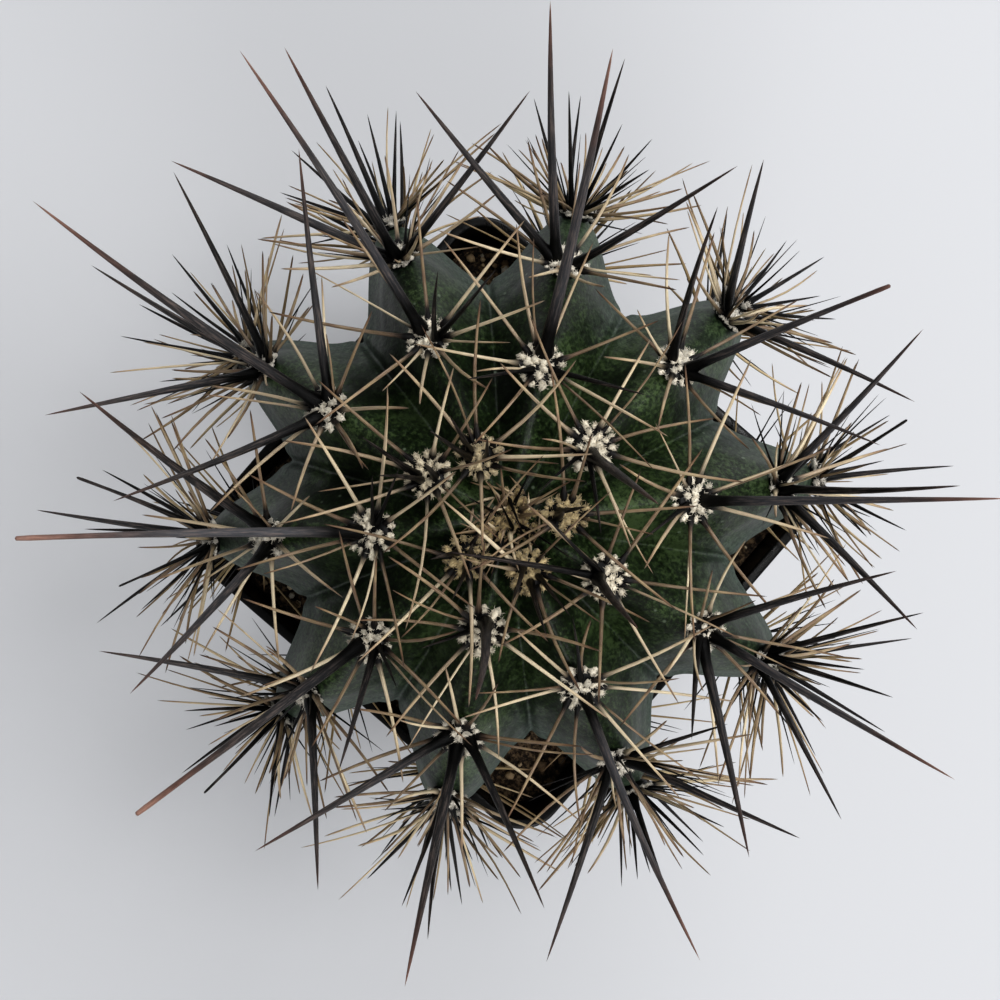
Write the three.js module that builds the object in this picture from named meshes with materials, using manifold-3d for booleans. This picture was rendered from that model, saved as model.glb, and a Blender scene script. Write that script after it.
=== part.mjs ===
// Potted saguaro: a young, round, ten-ribbed cactus with long dark spines, in a square plastic nursery pot.
// Millimetres, +Z up. The origin is the middle of the pot's flat base, and the pot's sides lie along X and Y.

import * as THREE from "three";
import { mergeVertices } from "three/addons/utils/BufferGeometryUtils.js";
import Module from "manifold-3d";

const wasm = await Module();
wasm.setup();

const GAP = 0.3; // left between pieces that touch
const RAD = Math.PI / 180;
const GOLDEN_ANGLE = 137.5 * RAD;
const Z_UP = new THREE.Vector3(0, 0, 1);
const X_OUT = new THREE.Vector3(1, 0, 0);

// The pot: its rim is a 100 mm square, and its walls lean in to a 70 mm base.
const POT = {
  rimHalf: 50,
  baseHalf: 35,
  height: 95,
  wall: 1.5,
  floor: 2,
  footRound: 1.3,
  collarFoot: 77,
  collarStep: 2.2,
  collarRise: 1.6,
  lip: 0.8,
  lipHigh: 1.8,
  lipRound: 0.6,
  cornerShare: 0.19,
  cornerPoints: 5,
  drainRadius: 5,
  drainOffset: 19,
  drainSides: 12,
};

// The soil: gritty, a little below the rim.
const SOIL = { level: 86, grit: 1.3, wallGap: 0.5, rings: [0.3, 0.7] };

// The stem: a ball of ten ribs, whose top leans a little off its middle.
const STEM = {
  middle: new THREE.Vector3(-1, 3.5, 138),
  radius: 60,
  ribs: 10,
  firstRib: 46.3 * RAD,
  grooveDepth: 14,
  grooveStart: 38 * RAD,
  grooveFade: 0.3,
  ribSharpness: 1.2,
  dimple: 3,
  dimpleAngle: 9 * RAD,
  swell: 1.2,
  swellWidth: 6,
  lean: new THREE.Vector2(0.75, -2.1),
  pointsPerRib: 6,
  ringStep: 8 * RAD,
  footDepths: [12, 24],
  footScales: [0.8, 0.5],
};
const RIB_STEP = (2 * Math.PI) / STEM.ribs;

// The areoles, the felt cushions along each rib that the spines grow from. Angles are from the stem's top.
const FIRST_AREOLE = [10, 19, 27.5, 12, 15.5, 23.5, 9.5, 19, 9.5, 19.5].map((deg) => deg * RAD);
const AREOLE_STEP = 23.5 * RAD;
const LAST_AREOLE = 128 * RAD;
const PAD = {
  across: 4.2,
  along: 4.9,
  high: 2.4,
  lift: 0.5,
  youngScale: 0.78,
  grownAngle: 20 * RAD,
  sides: 7,
  bands: 4,
};

// The spines, with a root sunk in the cushion. Dark central spines are stouter the longer they are, and the
// straw radial spines round them are slim. A long spine keeps its girth up to its shoulder.
const SPINE = {
  rootDepth: 1.6,
  centralSpread: 1.5,
  radialSpread: 3,
  centralSlimmest: 0.6,
  girthPerLength: 0.018,
  centralStoutest: 1.5,
  shoulder: 0.55,
  shoulderRadius: 0.82,
  longFrom: 38,
  brokenTip: 0.55,
  radialRadius: 0.72,
  radialLength: [19, 27],
  radialLift: [14 * RAD, 30 * RAD],
};

// The short dark spines of the low areoles, which spread like a fan.
const FAN = { count: 3, lastCount: 2, halfSpread: 45, length: [19, 29], lift: [-15, 15] };
const LOWEST_ROW = 5;

// How a spine is bent clear of others: the room it needs, and the widening spiral of turns that it tries.
const CLEAR = {
  spines: 0.45,
  stem: 0.5,
  cushion: 0.5,
  rim: 2.5,
  soil: 3,
  steps: 12,
  fromShare: 0.2,
  tries: 60,
  turn: 2.4 * RAD,
  spiral: 2.4,
  lengths: [1, 0.8, 0.6],
};

// The dark central spines that show from above, listed by rib and row. Each is the side it turns to, in
// degrees anticlockwise from straight out, its lift above the level, in degrees, its length, and whether its
// tip is broken.
const BROKEN = true;
const CENTRAL_SPINES = {
  "1.2": [[-5, 40, 63], [-150, 50, 18]],
  "1.3": [[45, 45, 48], [-5, 50, 44], [-55, 45, 45]],
  "1.4": [[30, 50, 28, BROKEN], [0, -20, 31], [-35, 35, 22], [-60, 55, 22]],
  "2.1": [[-85, 75, 50], [180, 50, 18]],
  "2.2": [[35, 50, 40], [-20, 45, 50, BROKEN], [-65, 40, 46]],
  "2.3": [[40, 55, 44], [-70, 40, 45]],
  "2.4": [[-10, -30, 25], [10, -35, 22], [-30, -33, 21], [-45, -25, 22]],
  "3.1": [[0, 45, 69], [-95, 45, 25], [115, 55, 22]],
  "3.2": [[55, 35, 46], [15, 40, 55], [-50, 45, 45]],
  "3.3": [[15, 35, 26], [-5, 40, 36], [-15, 45, 24], [-50, 50, 22]],
  "4.2": [[10, 40, 69], [-30, 70, 30], [-70, 60, 30]],
  "4.3": [[5, 45, 54], [45, 35, 50], [-65, 40, 46]],
  "4.4": [[0, -15, 33], [-10, 5, 22], [-25, 5, 22], [25, -5, 24], [45, -25, 25]],
  "5.2": [[-5, 35, 69], [-55, 35, 52], [55, 35, 46]],
  "5.3": [[-35, 30, 42], [0, 30, 40], [45, 40, 48]],
  "5.4": [[5, -15, 25], [20, -5, 25], [-20, -10, 25]],
  "6.1": [[-5, 40, 71, BROKEN], [-120, 50, 18]],
  "6.2": [[45, 50, 50], [-45, 40, 50]],
  "6.3": [[-15, 40, 39], [-30, 35, 31, BROKEN], [20, 35, 22, BROKEN], [40, 40, 22]],
  "7.2": [[-5, 45, 62, BROKEN], [35, 60, 40], [80, 65, 20]],
  "7.3": [[55, 45, 45], [-55, 35, 43]],
  "7.4": [[5, 40, 25, BROKEN], [-45, 45, 23], [45, 45, 25], [-30, 45, 16]],
  "8.1": [[5, 78, 50], [-60, 50, 15]],
  "8.2": [[0, 45, 55], [40, 50, 46], [-50, 40, 49]],
  "8.3": [[5, 50, 36], [-10, 50, 30]],
  "8.4": [[20, -30, 25], [15, -35, 23], [-30, -30, 26], [35, -40, 17]],
  "9.2": [[0, 45, 63], [165, 55, 22]],
  "9.3": [[45, 35, 40], [-45, 40, 45], [90, 40, 26]],
  "9.4": [[45, 30, 20], [25, 45, 23], [-5, 45, 29], [-20, 40, 20]],
  "10.1": [[-25, 80, 48], [-160, 40, 35], [165, 50, 22]],
  "10.2": [[50, 45, 45], [0, 45, 62], [-50, 40, 48], [-70, 55, 30]],
  "10.3": [[-35, 45, 41], [15, 50, 34], [25, 45, 24], [-15, 50, 22], [50, 45, 39]],
};

// The crown: young tufts of felt at the very top, with short spines that stand up out of them.
const CROWN = {
  domeRadius: 4.4,
  domeHeight: 2.6,
  tuftRadius: 2.6,
  tuftOffset: 3.2,
  tuftBearings: [112, 33, 246].map((deg) => deg * RAD),
  tuftLift: 0.9,
  domeLift: 0.4,
  spines: 12,
  spineLength: [8, 15],
  spineRadius: 0.6,
  spineOffset: 2.4,
  spread: [18 * RAD, 62 * RAD],
};

// A fixed shuffle: the same whole number always gives the same fraction between 0 and 1.
function fraction(n) {
  const wave = Math.sin(n * 12.9898) * 43758.5453;
  return wave - Math.floor(wave);
}

function between([low, high], n) {
  return low + (high - low) * fraction(n);
}

function smooth(x) {
  const t = Math.min(Math.max(x, 0), 1);
  return t * t * (3 - 2 * t);
}

function mesh(name, geometry, color, roughness) {
  const made = new THREE.Mesh(geometry, new THREE.MeshStandardMaterial({ color, roughness, metalness: 0 }));
  made.name = name;
  return made;
}

// Joins rings of equally many points into one closed skin. A fan closes each end, about the ring's middle, or
// about the tip that the last ring runs to.
function skin(rings, tip) {
  const count = rings[0].length;
  const positions = rings.flat().flatMap((p) => [p.x, p.y, p.z]);
  const faces = [];
  rings.slice(1).forEach((_, ring) => {
    for (let i = 0; i < count; i++) {
      const next = (i + 1) % count;
      const a = ring * count + i;
      const b = ring * count + next;
      faces.push(a, b, b + count, a, b + count, a + count);
    }
  });
  [rings[0], rings[rings.length - 1]].forEach((ring, end) => {
    const middle = ring.reduce((sum, p) => sum.add(p), new THREE.Vector3()).divideScalar(count);
    const at = positions.length / 3;
    const start = end ? (rings.length - 1) * count : 0;
    const peak = end && tip ? tip : middle;
    positions.push(peak.x, peak.y, peak.z);
    for (let i = 0; i < count; i++) {
      const next = (i + 1) % count;
      if (end) faces.push(start + i, start + next, at);
      else faces.push(start + next, start + i, at);
    }
  });
  const geometry = new THREE.BufferGeometry();
  geometry.setAttribute("position", new THREE.Float32BufferAttribute(positions, 3));
  geometry.setIndex(faces);
  return geometry;
}

function toSolid(geometry) {
  const bare = geometry.clone();
  bare.deleteAttribute("normal");
  bare.deleteAttribute("uv");
  const merged = mergeVertices(bare, 1e-4);
  return new wasm.Manifold(
    new wasm.Mesh({
      numProp: 3,
      vertProperties: new Float32Array(merged.attributes.position.array),
      triVerts: new Uint32Array(merged.index.array),
    }),
  );
}

function toGeometry(solid) {
  const { numVert, vertProperties, triVerts } = solid.getMesh();
  const geometry = new THREE.BufferGeometry();
  geometry.setAttribute("position", new THREE.BufferAttribute(vertProperties.slice(0, numVert * 3), 3));
  geometry.setIndex(new THREE.BufferAttribute(triVerts, 1));
  return geometry;
}

// The largest body of a cut solid, without its loose scraps.
function largest(solid) {
  return solid.decompose().reduce((best, body) => (body.volume() > best.volume() ? body : best));
}

// One level ring of the square pot, with round corners.
function squareRing(half, z, inset = 0) {
  const corner = Math.max(half * POT.cornerShare - inset, 1);
  const ring = [];
  for (let side = 0; side < 4; side++) {
    const turn = (side + 0.5) * (Math.PI / 2);
    const reach = (half - corner) * Math.SQRT2;
    for (let i = 0; i < POT.cornerPoints; i++) {
      const angle = turn + (i / (POT.cornerPoints - 1) - 0.5) * (Math.PI / 2);
      ring.push(
        new THREE.Vector3(
          reach * Math.cos(turn) + corner * Math.cos(angle),
          reach * Math.sin(turn) + corner * Math.sin(angle),
          z,
        ),
      );
    }
  }
  return ring;
}

// The half width of the pot's outside at a height, without the lip.
function potHalf(z) {
  const foot = POT.rimHalf - POT.lip - POT.collarStep;
  const wall = POT.baseHalf + (foot - POT.baseHalf) * (z / POT.height);
  return z > POT.collarFoot ? wall + POT.collarStep : wall;
}

function makePot() {
  const { height, wall, floor, footRound, collarFoot, collarRise, lip, lipHigh, lipRound, rimHalf } = POT;
  const outside = [
    [potHalf(0) - footRound, 0],
    [potHalf(footRound), footRound],
    [potHalf(collarFoot), collarFoot],
    [potHalf(collarFoot + collarRise), collarFoot + collarRise],
    [potHalf(height - lipHigh - lip), height - lipHigh - lip],
    [rimHalf, height - lipHigh],
    [rimHalf, height - lipRound],
    [rimHalf - lipRound, height],
  ];
  const inside = [
    [rimHalf - lip - wall + lipRound, height],
    [potHalf(height - lipRound) - wall, height - lipRound],
    [potHalf(collarFoot + wall + 1) - wall, collarFoot + wall + 1],
    [potHalf(collarFoot) - wall, collarFoot + 1],
    [potHalf(floor + footRound) - wall, floor + footRound],
    [potHalf(floor) - wall - footRound, floor],
  ];
  const rings = [
    ...outside.map(([half, z]) => squareRing(half, z)),
    ...inside.map(([half, z]) => squareRing(half, z, wall)),
  ];
  let pot = toSolid(skin(rings));
  for (const [x, y] of [[1, 1], [-1, 1], [-1, -1], [1, -1]]) {
    const hole = new THREE.CylinderGeometry(POT.drainRadius, POT.drainRadius, floor * 4, POT.drainSides);
    hole.rotateX(Math.PI / 2);
    hole.translate(x * POT.drainOffset, y * POT.drainOffset, 0);
    pot = pot.subtract(toSolid(hole));
  }
  return mesh("pot", toGeometry(pot), 0x0e0f10, 0.32);
}

// Where the areoles of one rib sit, as angles from the stem's top.
function areoleAngles(rib) {
  const angles = [];
  for (let angle = FIRST_AREOLE[rib]; angle < LAST_AREOLE; angle += AREOLE_STEP) angles.push(angle);
  return angles;
}

// The stem's radius from its middle, at an angle from its top and a turn about it. Ribs are round ridges with
// wide grooves between, they swell a little at each areole, and the very top is dimpled.
function stemRadius(angle, turn) {
  const fromRib = (turn - STEM.firstRib) / RIB_STEP;
  const rib = ((Math.round(fromRib) % STEM.ribs) + STEM.ribs) % STEM.ribs;
  const crest = Math.pow((1 + Math.cos(2 * Math.PI * fromRib)) / 2, STEM.ribSharpness);
  const fade = Math.pow(Math.sin(angle), STEM.grooveFade);
  const depth = STEM.grooveDepth * smooth(angle / STEM.grooveStart) * fade;
  const dimple = STEM.dimple * Math.exp(-((angle / STEM.dimpleAngle) ** 2));
  const swell = areoleAngles(rib).reduce((sum, at) => {
    const away = (STEM.radius * (angle - at)) / STEM.swellWidth;
    return sum + STEM.swell * Math.exp(-away * away);
  }, 0);
  return STEM.radius - depth * (1 - crest) - dimple + swell * crest;
}

// How far the stem's axis has leaned sideways at a height.
function leanAt(z) {
  const up = Math.max(0, (z - STEM.middle.z) / STEM.radius);
  return STEM.lean.clone().multiplyScalar(up * up);
}

function stemPoint(angle, turn, grow = 0) {
  const out = stemRadius(angle, turn) + grow;
  const point = new THREE.Vector3(
    out * Math.sin(angle) * Math.cos(turn),
    out * Math.sin(angle) * Math.sin(turn),
    out * Math.cos(angle),
  ).add(STEM.middle);
  const lean = leanAt(point.z);
  return point.add(new THREE.Vector3(lean.x, lean.y, 0));
}

// How far a point is above the stem's skin, measured from the stem's middle.
function heightOverStem(point) {
  const lean = leanAt(point.z);
  const out = point.clone().sub(STEM.middle).sub(new THREE.Vector3(lean.x, lean.y, 0));
  const length = out.length();
  return length - stemRadius(Math.acos(out.z / length), Math.atan2(out.y, out.x));
}

const STEM_TOP = stemPoint(0, 0);
const TURNS = Array.from(
  { length: STEM.ribs * STEM.pointsPerRib },
  (_, i) => STEM.firstRib + (i * RIB_STEP) / STEM.pointsPerRib,
);
const SOIL_ANGLE = Math.acos((SOIL.level - STEM.middle.z) / STEM.radius);

// The ring where the stem meets the soil, flattened to the soil's level.
function soilLineRing(grow) {
  return TURNS.map((turn) => {
    const point = stemPoint(SOIL_ANGLE, turn, 0);
    const out = new THREE.Vector3(Math.cos(turn), Math.sin(turn), 0);
    return point.setZ(SOIL.level).addScaledVector(out, grow);
  });
}

// The rings of the buried foot, each a smaller copy of the ring at the soil.
function footRings(grow) {
  const middle = new THREE.Vector3(STEM.middle.x, STEM.middle.y, 0);
  return STEM.footDepths.map((depth, i) =>
    soilLineRing(0).map((p, k) => {
      const flat = p.clone().setZ(0).sub(middle).multiplyScalar(STEM.footScales[i]).add(middle);
      const out = new THREE.Vector3(Math.cos(TURNS[k]), Math.sin(TURNS[k]), 0);
      return flat.addScaledVector(out, grow).setZ(SOIL.level - depth);
    }),
  );
}

function stemSkin(grow) {
  const rings = [];
  const steps = Math.floor(SOIL_ANGLE / STEM.ringStep);
  for (let i = 1; i < steps; i++) {
    const angle = i * STEM.ringStep;
    rings.push(TURNS.map((turn) => stemPoint(angle, turn, grow)));
  }
  rings.push(soilLineRing(grow), ...footRings(grow));
  return skin(rings.reverse());
}

function makeStem() {
  return mesh("stem", stemSkin(0), 0x2b4630, 0.55);
}

// A level ring that lies just inside the pot's wall, with its points at the stem's turns.
function wallRing(half, z) {
  const corner = half * POT.cornerShare;
  const reach = half - corner;
  return TURNS.map((turn) => {
    const c = Math.abs(Math.cos(turn));
    const s = Math.abs(Math.sin(turn));
    const toSide = half / Math.max(c, s);
    const along = reach * (c + s);
    const toCorner = along + Math.sqrt(Math.max(along * along - 2 * reach * reach + corner * corner, 0));
    const out = Math.min(c, s) * toSide > reach ? toCorner : toSide;
    return new THREE.Vector3(out * Math.cos(turn), out * Math.sin(turn), z);
  });
}

// The soil fills the pot round the stem's foot, and its top is rough with grit.
function makeSoil() {
  const { level, grit, wallGap, rings } = SOIL;
  const inner = (z) => potHalf(z) - POT.wall - wallGap;
  const atStem = soilLineRing(GAP);
  const atWall = wallRing(inner(level), level);
  const roughened = (ring, seed) =>
    ring.map((p, i) => p.clone().setZ(level + grit * (fraction(i * 7 + seed * 131) - 0.4)));
  const top = [...rings]
    .reverse()
    .map((share, seed) => roughened(atStem.map((p, i) => p.clone().lerp(atWall[i], share)), seed));
  const [upperFoot, lowerFoot] = footRings(GAP);
  const soil = skin([
    wallRing(inner(POT.floor) - 1, POT.floor + GAP),
    wallRing(inner(POT.floor + 2), POT.floor + 2),
    wallRing(inner(POT.collarFoot), POT.collarFoot + 1),
    wallRing(inner(POT.collarFoot + 3), POT.collarFoot + 3),
    roughened(atWall, rings.length),
    ...top,
    atStem,
    upperFoot,
    lowerFoot.map((p) => p.setZ(p.z - GAP)),
  ]);
  return mesh("soil", soil, 0x4a3726, 0.95);
}

// The place of one areole: a point on the rib's crest, with the ways out, to the crown and across the rib.
function areoleFrame(rib, row) {
  const angle = areoleAngles(rib)[row];
  const turn = STEM.firstRib + rib * RIB_STEP;
  const at = stemPoint(angle, turn);
  const flatOut = new THREE.Vector3(Math.cos(turn), Math.sin(turn), 0);
  const out = new THREE.Vector3(
    Math.sin(angle) * Math.cos(turn),
    Math.sin(angle) * Math.sin(turn),
    Math.cos(angle),
  );
  const across = new THREE.Vector3(-Math.sin(turn), Math.cos(turn), 0);
  const crownward = new THREE.Vector3().crossVectors(out, across);
  const size = PAD.youngScale + (1 - PAD.youngScale) * smooth(angle / PAD.grownAngle);
  return { rib, row, angle, at, flatOut, out, across, crownward, size };
}

// The shortest way between two spines' middle lines, less their half thickness there.
function spineGap(a, b) {
  const da = a.tip.clone().sub(a.root);
  const db = b.tip.clone().sub(b.root);
  const r = a.root.clone().sub(b.root);
  const aa = da.dot(da);
  const bb = db.dot(db);
  const ab = da.dot(db);
  const ar = da.dot(r);
  const br = db.dot(r);
  const flat = aa * bb - ab * ab;
  let s = flat > 1e-9 ? Math.min(Math.max((ab * br - ar * bb) / flat, 0), 1) : 0;
  let t = (ab * s + br) / bb;
  if (t < 0 || t > 1) {
    t = Math.min(Math.max(t, 0), 1);
    s = Math.min(Math.max((ab * t - ar) / aa, 0), 1);
  }
  const apart = r.addScaledVector(da, s).addScaledVector(db, -t).length();
  return apart - radiusAt(a, s) - radiusAt(b, t);
}

// A spine keeps most of its girth up to its shoulder, and runs to a point from there.
function radiusAt(spine, share) {
  if (share < SPINE.shoulder) return spine.radius;
  const left = (1 - share) / (1 - SPINE.shoulder);
  return spine.radius * Math.max(left, spine.broken ? SPINE.brokenTip : 0.05);
}

// Whether a spine is clear of the stem, the pot, the soil and the cushions and spines of other areoles.
function isClear(spine, placed, cushions) {
  const way = spine.tip.clone().sub(spine.root);
  for (let i = 1; i <= CLEAR.steps; i++) {
    const share = i / CLEAR.steps;
    const p = spine.root.clone().addScaledVector(way, share);
    if (share > CLEAR.fromShare && heightOverStem(p) < spine.radius + CLEAR.stem) return false;
    const sideways = Math.max(Math.abs(p.x), Math.abs(p.y));
    const overSoil = sideways < POT.rimHalf - POT.wall - CLEAR.rim;
    const overRim = !overSoil && sideways < POT.rimHalf + CLEAR.rim;
    if (overRim && p.z < POT.height + CLEAR.rim) return false;
    if (overSoil && p.z < SOIL.level + CLEAR.soil) return false;
  }
  const meets = (cushion) => {
    const share = cushion.at.clone().sub(spine.root).dot(way) / way.dot(way);
    const nearest = spine.root.clone().addScaledVector(way, Math.min(Math.max(share, 0), 1));
    return nearest.distanceTo(cushion.at) < cushion.reach + spine.radius;
  };
  const others = (thing) => thing.key !== spine.key;
  if (cushions.filter(others).some(meets)) return false;
  return placed.filter(others).every((other) => spineGap(spine, other) > CLEAR.spines);
}

// Two directions square to a spine and to each other.
function crosswise(way) {
  const first = new THREE.Vector3().crossVectors(way, Math.abs(way.z) < 0.9 ? Z_UP : X_OUT).normalize();
  return [first, new THREE.Vector3().crossVectors(way, first)];
}

// Bends a spine away from its wanted way by the smallest turn that makes it clear. A spine that finds no way
// is made shorter, and left out if it still finds none.
function settle(wanted, placed, cushions) {
  const { way, root } = wanted;
  const [first, second] = crosswise(way);
  for (const share of CLEAR.lengths) {
    for (let k = 0; k < CLEAR.tries; k++) {
      const turn = Math.tan(CLEAR.turn * Math.sqrt(k));
      const bent = way
        .clone()
        .addScaledVector(first, turn * Math.cos(CLEAR.spiral * k))
        .addScaledVector(second, turn * Math.sin(CLEAR.spiral * k))
        .normalize();
      const tip = root.clone().addScaledVector(bent, wanted.length * share);
      const spine = { ...wanted, way: bent, tip };
      if (isClear(spine, placed, cushions)) {
        placed.push(spine);
        return;
      }
    }
  }
}

// A central spine of an areole, from its side, lift and length.
function centralSpine(frame, [side, lift, length, broken = false]) {
  const { flatOut, across, out, at, key } = frame;
  const way = flatOut
    .clone()
    .multiplyScalar(Math.cos(side * RAD) * Math.cos(lift * RAD))
    .addScaledVector(across, Math.sin(side * RAD) * Math.cos(lift * RAD))
    .addScaledVector(Z_UP, Math.sin(lift * RAD));
  const spread = way.clone().addScaledVector(out, -way.dot(out)).normalize();
  const root = at.clone().addScaledVector(out, PAD.lift).addScaledVector(spread, SPINE.centralSpread);
  const radius = Math.min(SPINE.centralSlimmest + SPINE.girthPerLength * length, SPINE.centralStoutest);
  return { key, root, way, length, radius, broken };
}

// A radial spine of an areole, at a clock angle round it, low over the rib.
function radialSpine(frame, clock, lift, length) {
  const { crownward, across, out, at, key, size } = frame;
  const flat = crownward.clone().multiplyScalar(Math.cos(clock)).addScaledVector(across, Math.sin(clock));
  const way = flat.clone().multiplyScalar(Math.cos(lift)).addScaledVector(out, Math.sin(lift));
  const root = at
    .clone()
    .addScaledVector(out, PAD.lift)
    .addScaledVector(flat, SPINE.radialSpread * size);
  return { key, root, way, length, radius: SPINE.radialRadius, broken: false };
}

// The fan of one areole, as the side, lift and length of each spine, about the way that the rib faces there.
function fanOf(frame, seed) {
  const count = frame.row < LOWEST_ROW ? FAN.count : FAN.lastCount;
  return Array.from({ length: count }, (_, i) => [
    FAN.halfSpread * ((2 * i + 0.4 + 1.2 * fraction(seed + i)) / count - 1),
    90 - frame.angle / RAD + between(FAN.lift, seed + 20 + i),
    between(FAN.length, seed + 40 + i),
  ]);
}

// Young areoles at the top and old ones near the soil have fewer radials.
function radialCount(frame) {
  if (frame.angle < 12 * RAD) return 7;
  if (frame.angle < 75 * RAD) return 8;
  return frame.row < LOWEST_ROW ? 6 : 4;
}

// Every areole with its spines, settled in turn: the listed long ones, the fans, the crown's and the radials.
function growSpines() {
  const frames = [];
  for (let rib = 0; rib < STEM.ribs; rib++) {
    areoleAngles(rib).forEach((_, row) => {
      frames.push({ ...areoleFrame(rib, row), key: `${rib + 1}.${row + 1}` });
    });
  }
  const cushions = frames.map(({ key, at, size }) => ({ key, at, reach: PAD.along * size + CLEAR.cushion }));
  cushions.push({ key: "crown", at: STEM_TOP, reach: CROWN.tuftOffset + CROWN.tuftRadius + CLEAR.cushion });
  const placed = [];
  const grow = (frame, list) =>
    list.forEach((values) => settle(centralSpine(frame, values), placed, cushions));
  const listed = frames.filter(({ key }) => CENTRAL_SPINES[key]);
  const others = frames.filter(({ key }) => !CENTRAL_SPINES[key]);
  listed.forEach((frame) => grow(frame, CENTRAL_SPINES[frame.key]));
  others.forEach((frame) => grow(frame, fanOf(frame, frame.rib * 97 + frame.row * 11)));
  growCrown(placed, cushions);
  frames.forEach((frame) => {
    const count = radialCount(frame);
    for (let i = 0; i < count; i++) {
      const seed = frame.rib * 131 + frame.row * 17 + i;
      const clock = ((i + 0.25 + 0.5 * fraction(seed)) * 2 * Math.PI) / count;
      const lift = between(SPINE.radialLift, seed + 300);
      settle(radialSpine(frame, clock, lift, between(SPINE.radialLength, seed + 700)), placed, cushions);
    }
  });
  return { frames, placed };
}

// The crown's spines stand round the very top, a golden angle apart, each with its own lean.
function growCrown(placed, cushions) {
  for (let i = 0; i < CROWN.spines; i++) {
    const turn = i * GOLDEN_ANGLE;
    const lean = between(CROWN.spread, i + 500);
    const flatOut = new THREE.Vector3(Math.cos(turn), Math.sin(turn), 0);
    const way = flatOut.clone().multiplyScalar(Math.sin(lean)).addScaledVector(Z_UP, Math.cos(lean));
    const root = STEM_TOP.clone().addScaledVector(flatOut, CROWN.spineOffset).addScaledVector(Z_UP, PAD.lift);
    const length = between(CROWN.spineLength, i + 540);
    settle({ key: "crown", root, way, length, radius: CROWN.spineRadius, broken: false }, placed, cushions);
  }
}

// A spine as a slim solid: four sides and a shoulder where it is long, three sides and a plain taper else.
function spineSolid(spine) {
  const { root, tip, way, radius, broken } = spine;
  const long = tip.distanceTo(root) > SPINE.longFrom;
  const sides = long ? 4 : 3;
  const [first, second] = crosswise(way);
  const ring = (centre, size) =>
    Array.from({ length: sides }, (_, i) => {
      const turn = (i * 2 * Math.PI) / sides;
      return centre
        .clone()
        .addScaledVector(first, size * Math.cos(turn))
        .addScaledVector(second, size * Math.sin(turn));
    });
  const rings = [ring(root.clone().addScaledVector(way, -SPINE.rootDepth), radius)];
  if (long) {
    rings.push(ring(root.clone().lerp(tip, SPINE.shoulder), radius * SPINE.shoulderRadius));
  }
  if (broken) rings.push(ring(tip, radius * SPINE.brokenTip));
  return toSolid(skin(rings, broken ? undefined : tip));
}

// A cushion of felt: a flat ball, half sunk in the rib.
function cushionSolid(at, out, across, along, size) {
  const ball = new THREE.SphereGeometry(1, PAD.sides, PAD.bands);
  ball.rotateX(Math.PI / 2);
  ball.scale(PAD.across * size, PAD.along * size, PAD.high * size);
  const place = new THREE.Matrix4().makeBasis(across, along, out);
  place.setPosition(at.clone().addScaledVector(out, PAD.lift));
  ball.applyMatrix4(place);
  return toSolid(ball);
}

// The crown's felt: a low dome with a tuft of felt for each youngest areole.
function crownSolid() {
  const ball = (radius, height, offset, bearing, lift) => {
    const shape = new THREE.SphereGeometry(1, PAD.sides, PAD.bands);
    shape.rotateX(Math.PI / 2);
    shape.scale(radius, radius, height);
    shape.translate(offset * Math.cos(bearing), offset * Math.sin(bearing), lift);
    shape.translate(STEM_TOP.x, STEM_TOP.y, STEM_TOP.z);
    return toSolid(shape);
  };
  const { domeRadius, domeHeight, domeLift, tuftRadius, tuftOffset, tuftLift, tuftBearings } = CROWN;
  const dome = ball(domeRadius, domeHeight, 0, 0, domeLift);
  const tufts = tuftBearings.map((bearing) => ball(tuftRadius, tuftRadius, tuftOffset, bearing, tuftLift));
  return tufts.reduce((crown, tuft) => crown.add(tuft), dome);
}

const { frames, placed } = growSpines();
const grownStem = toSolid(stemSkin(GAP));

// One node for each areole: its cushion with its spines sunk in it, cut clear of the stem.
function makeCluster(name, cushion, key) {
  const spines = placed.filter((spine) => spine.key === key).map(spineSolid);
  const whole = spines.reduce((sum, spine) => sum.add(spine), cushion);
  return mesh(name, toGeometry(largest(whole.subtract(grownStem))), 0x3a3027, 0.6);
}

const saguaro = new THREE.Group();
saguaro.add(makePot(), makeSoil(), makeStem());
saguaro.add(makeCluster("crown", crownSolid(), "crown"));
for (const { key, at, out, across, crownward, size, rib, row } of frames) {
  const name = `areole_${String(rib + 1).padStart(2, "0")}_${row + 1}`;
  saguaro.add(makeCluster(name, cushionSolid(at, out, across, crownward, size), key));
}

export default saguaro;
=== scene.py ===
# %% [markdown]
# # A young saguaro in a nursery pot
# A saguaro starts life as a ribbed ball. Felt cushions, called areoles, sit along the crest of each rib,
# and every spine grows out of one. The plant stands in gritty soil in a square moulded pot. The CAD model
# has all of these at their real size and place. Here each one is made again with the fine surface that the
# eye expects, round the same measures, so nothing has to be fitted afterwards.

# %% Load the frame
import functools
import math

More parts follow.
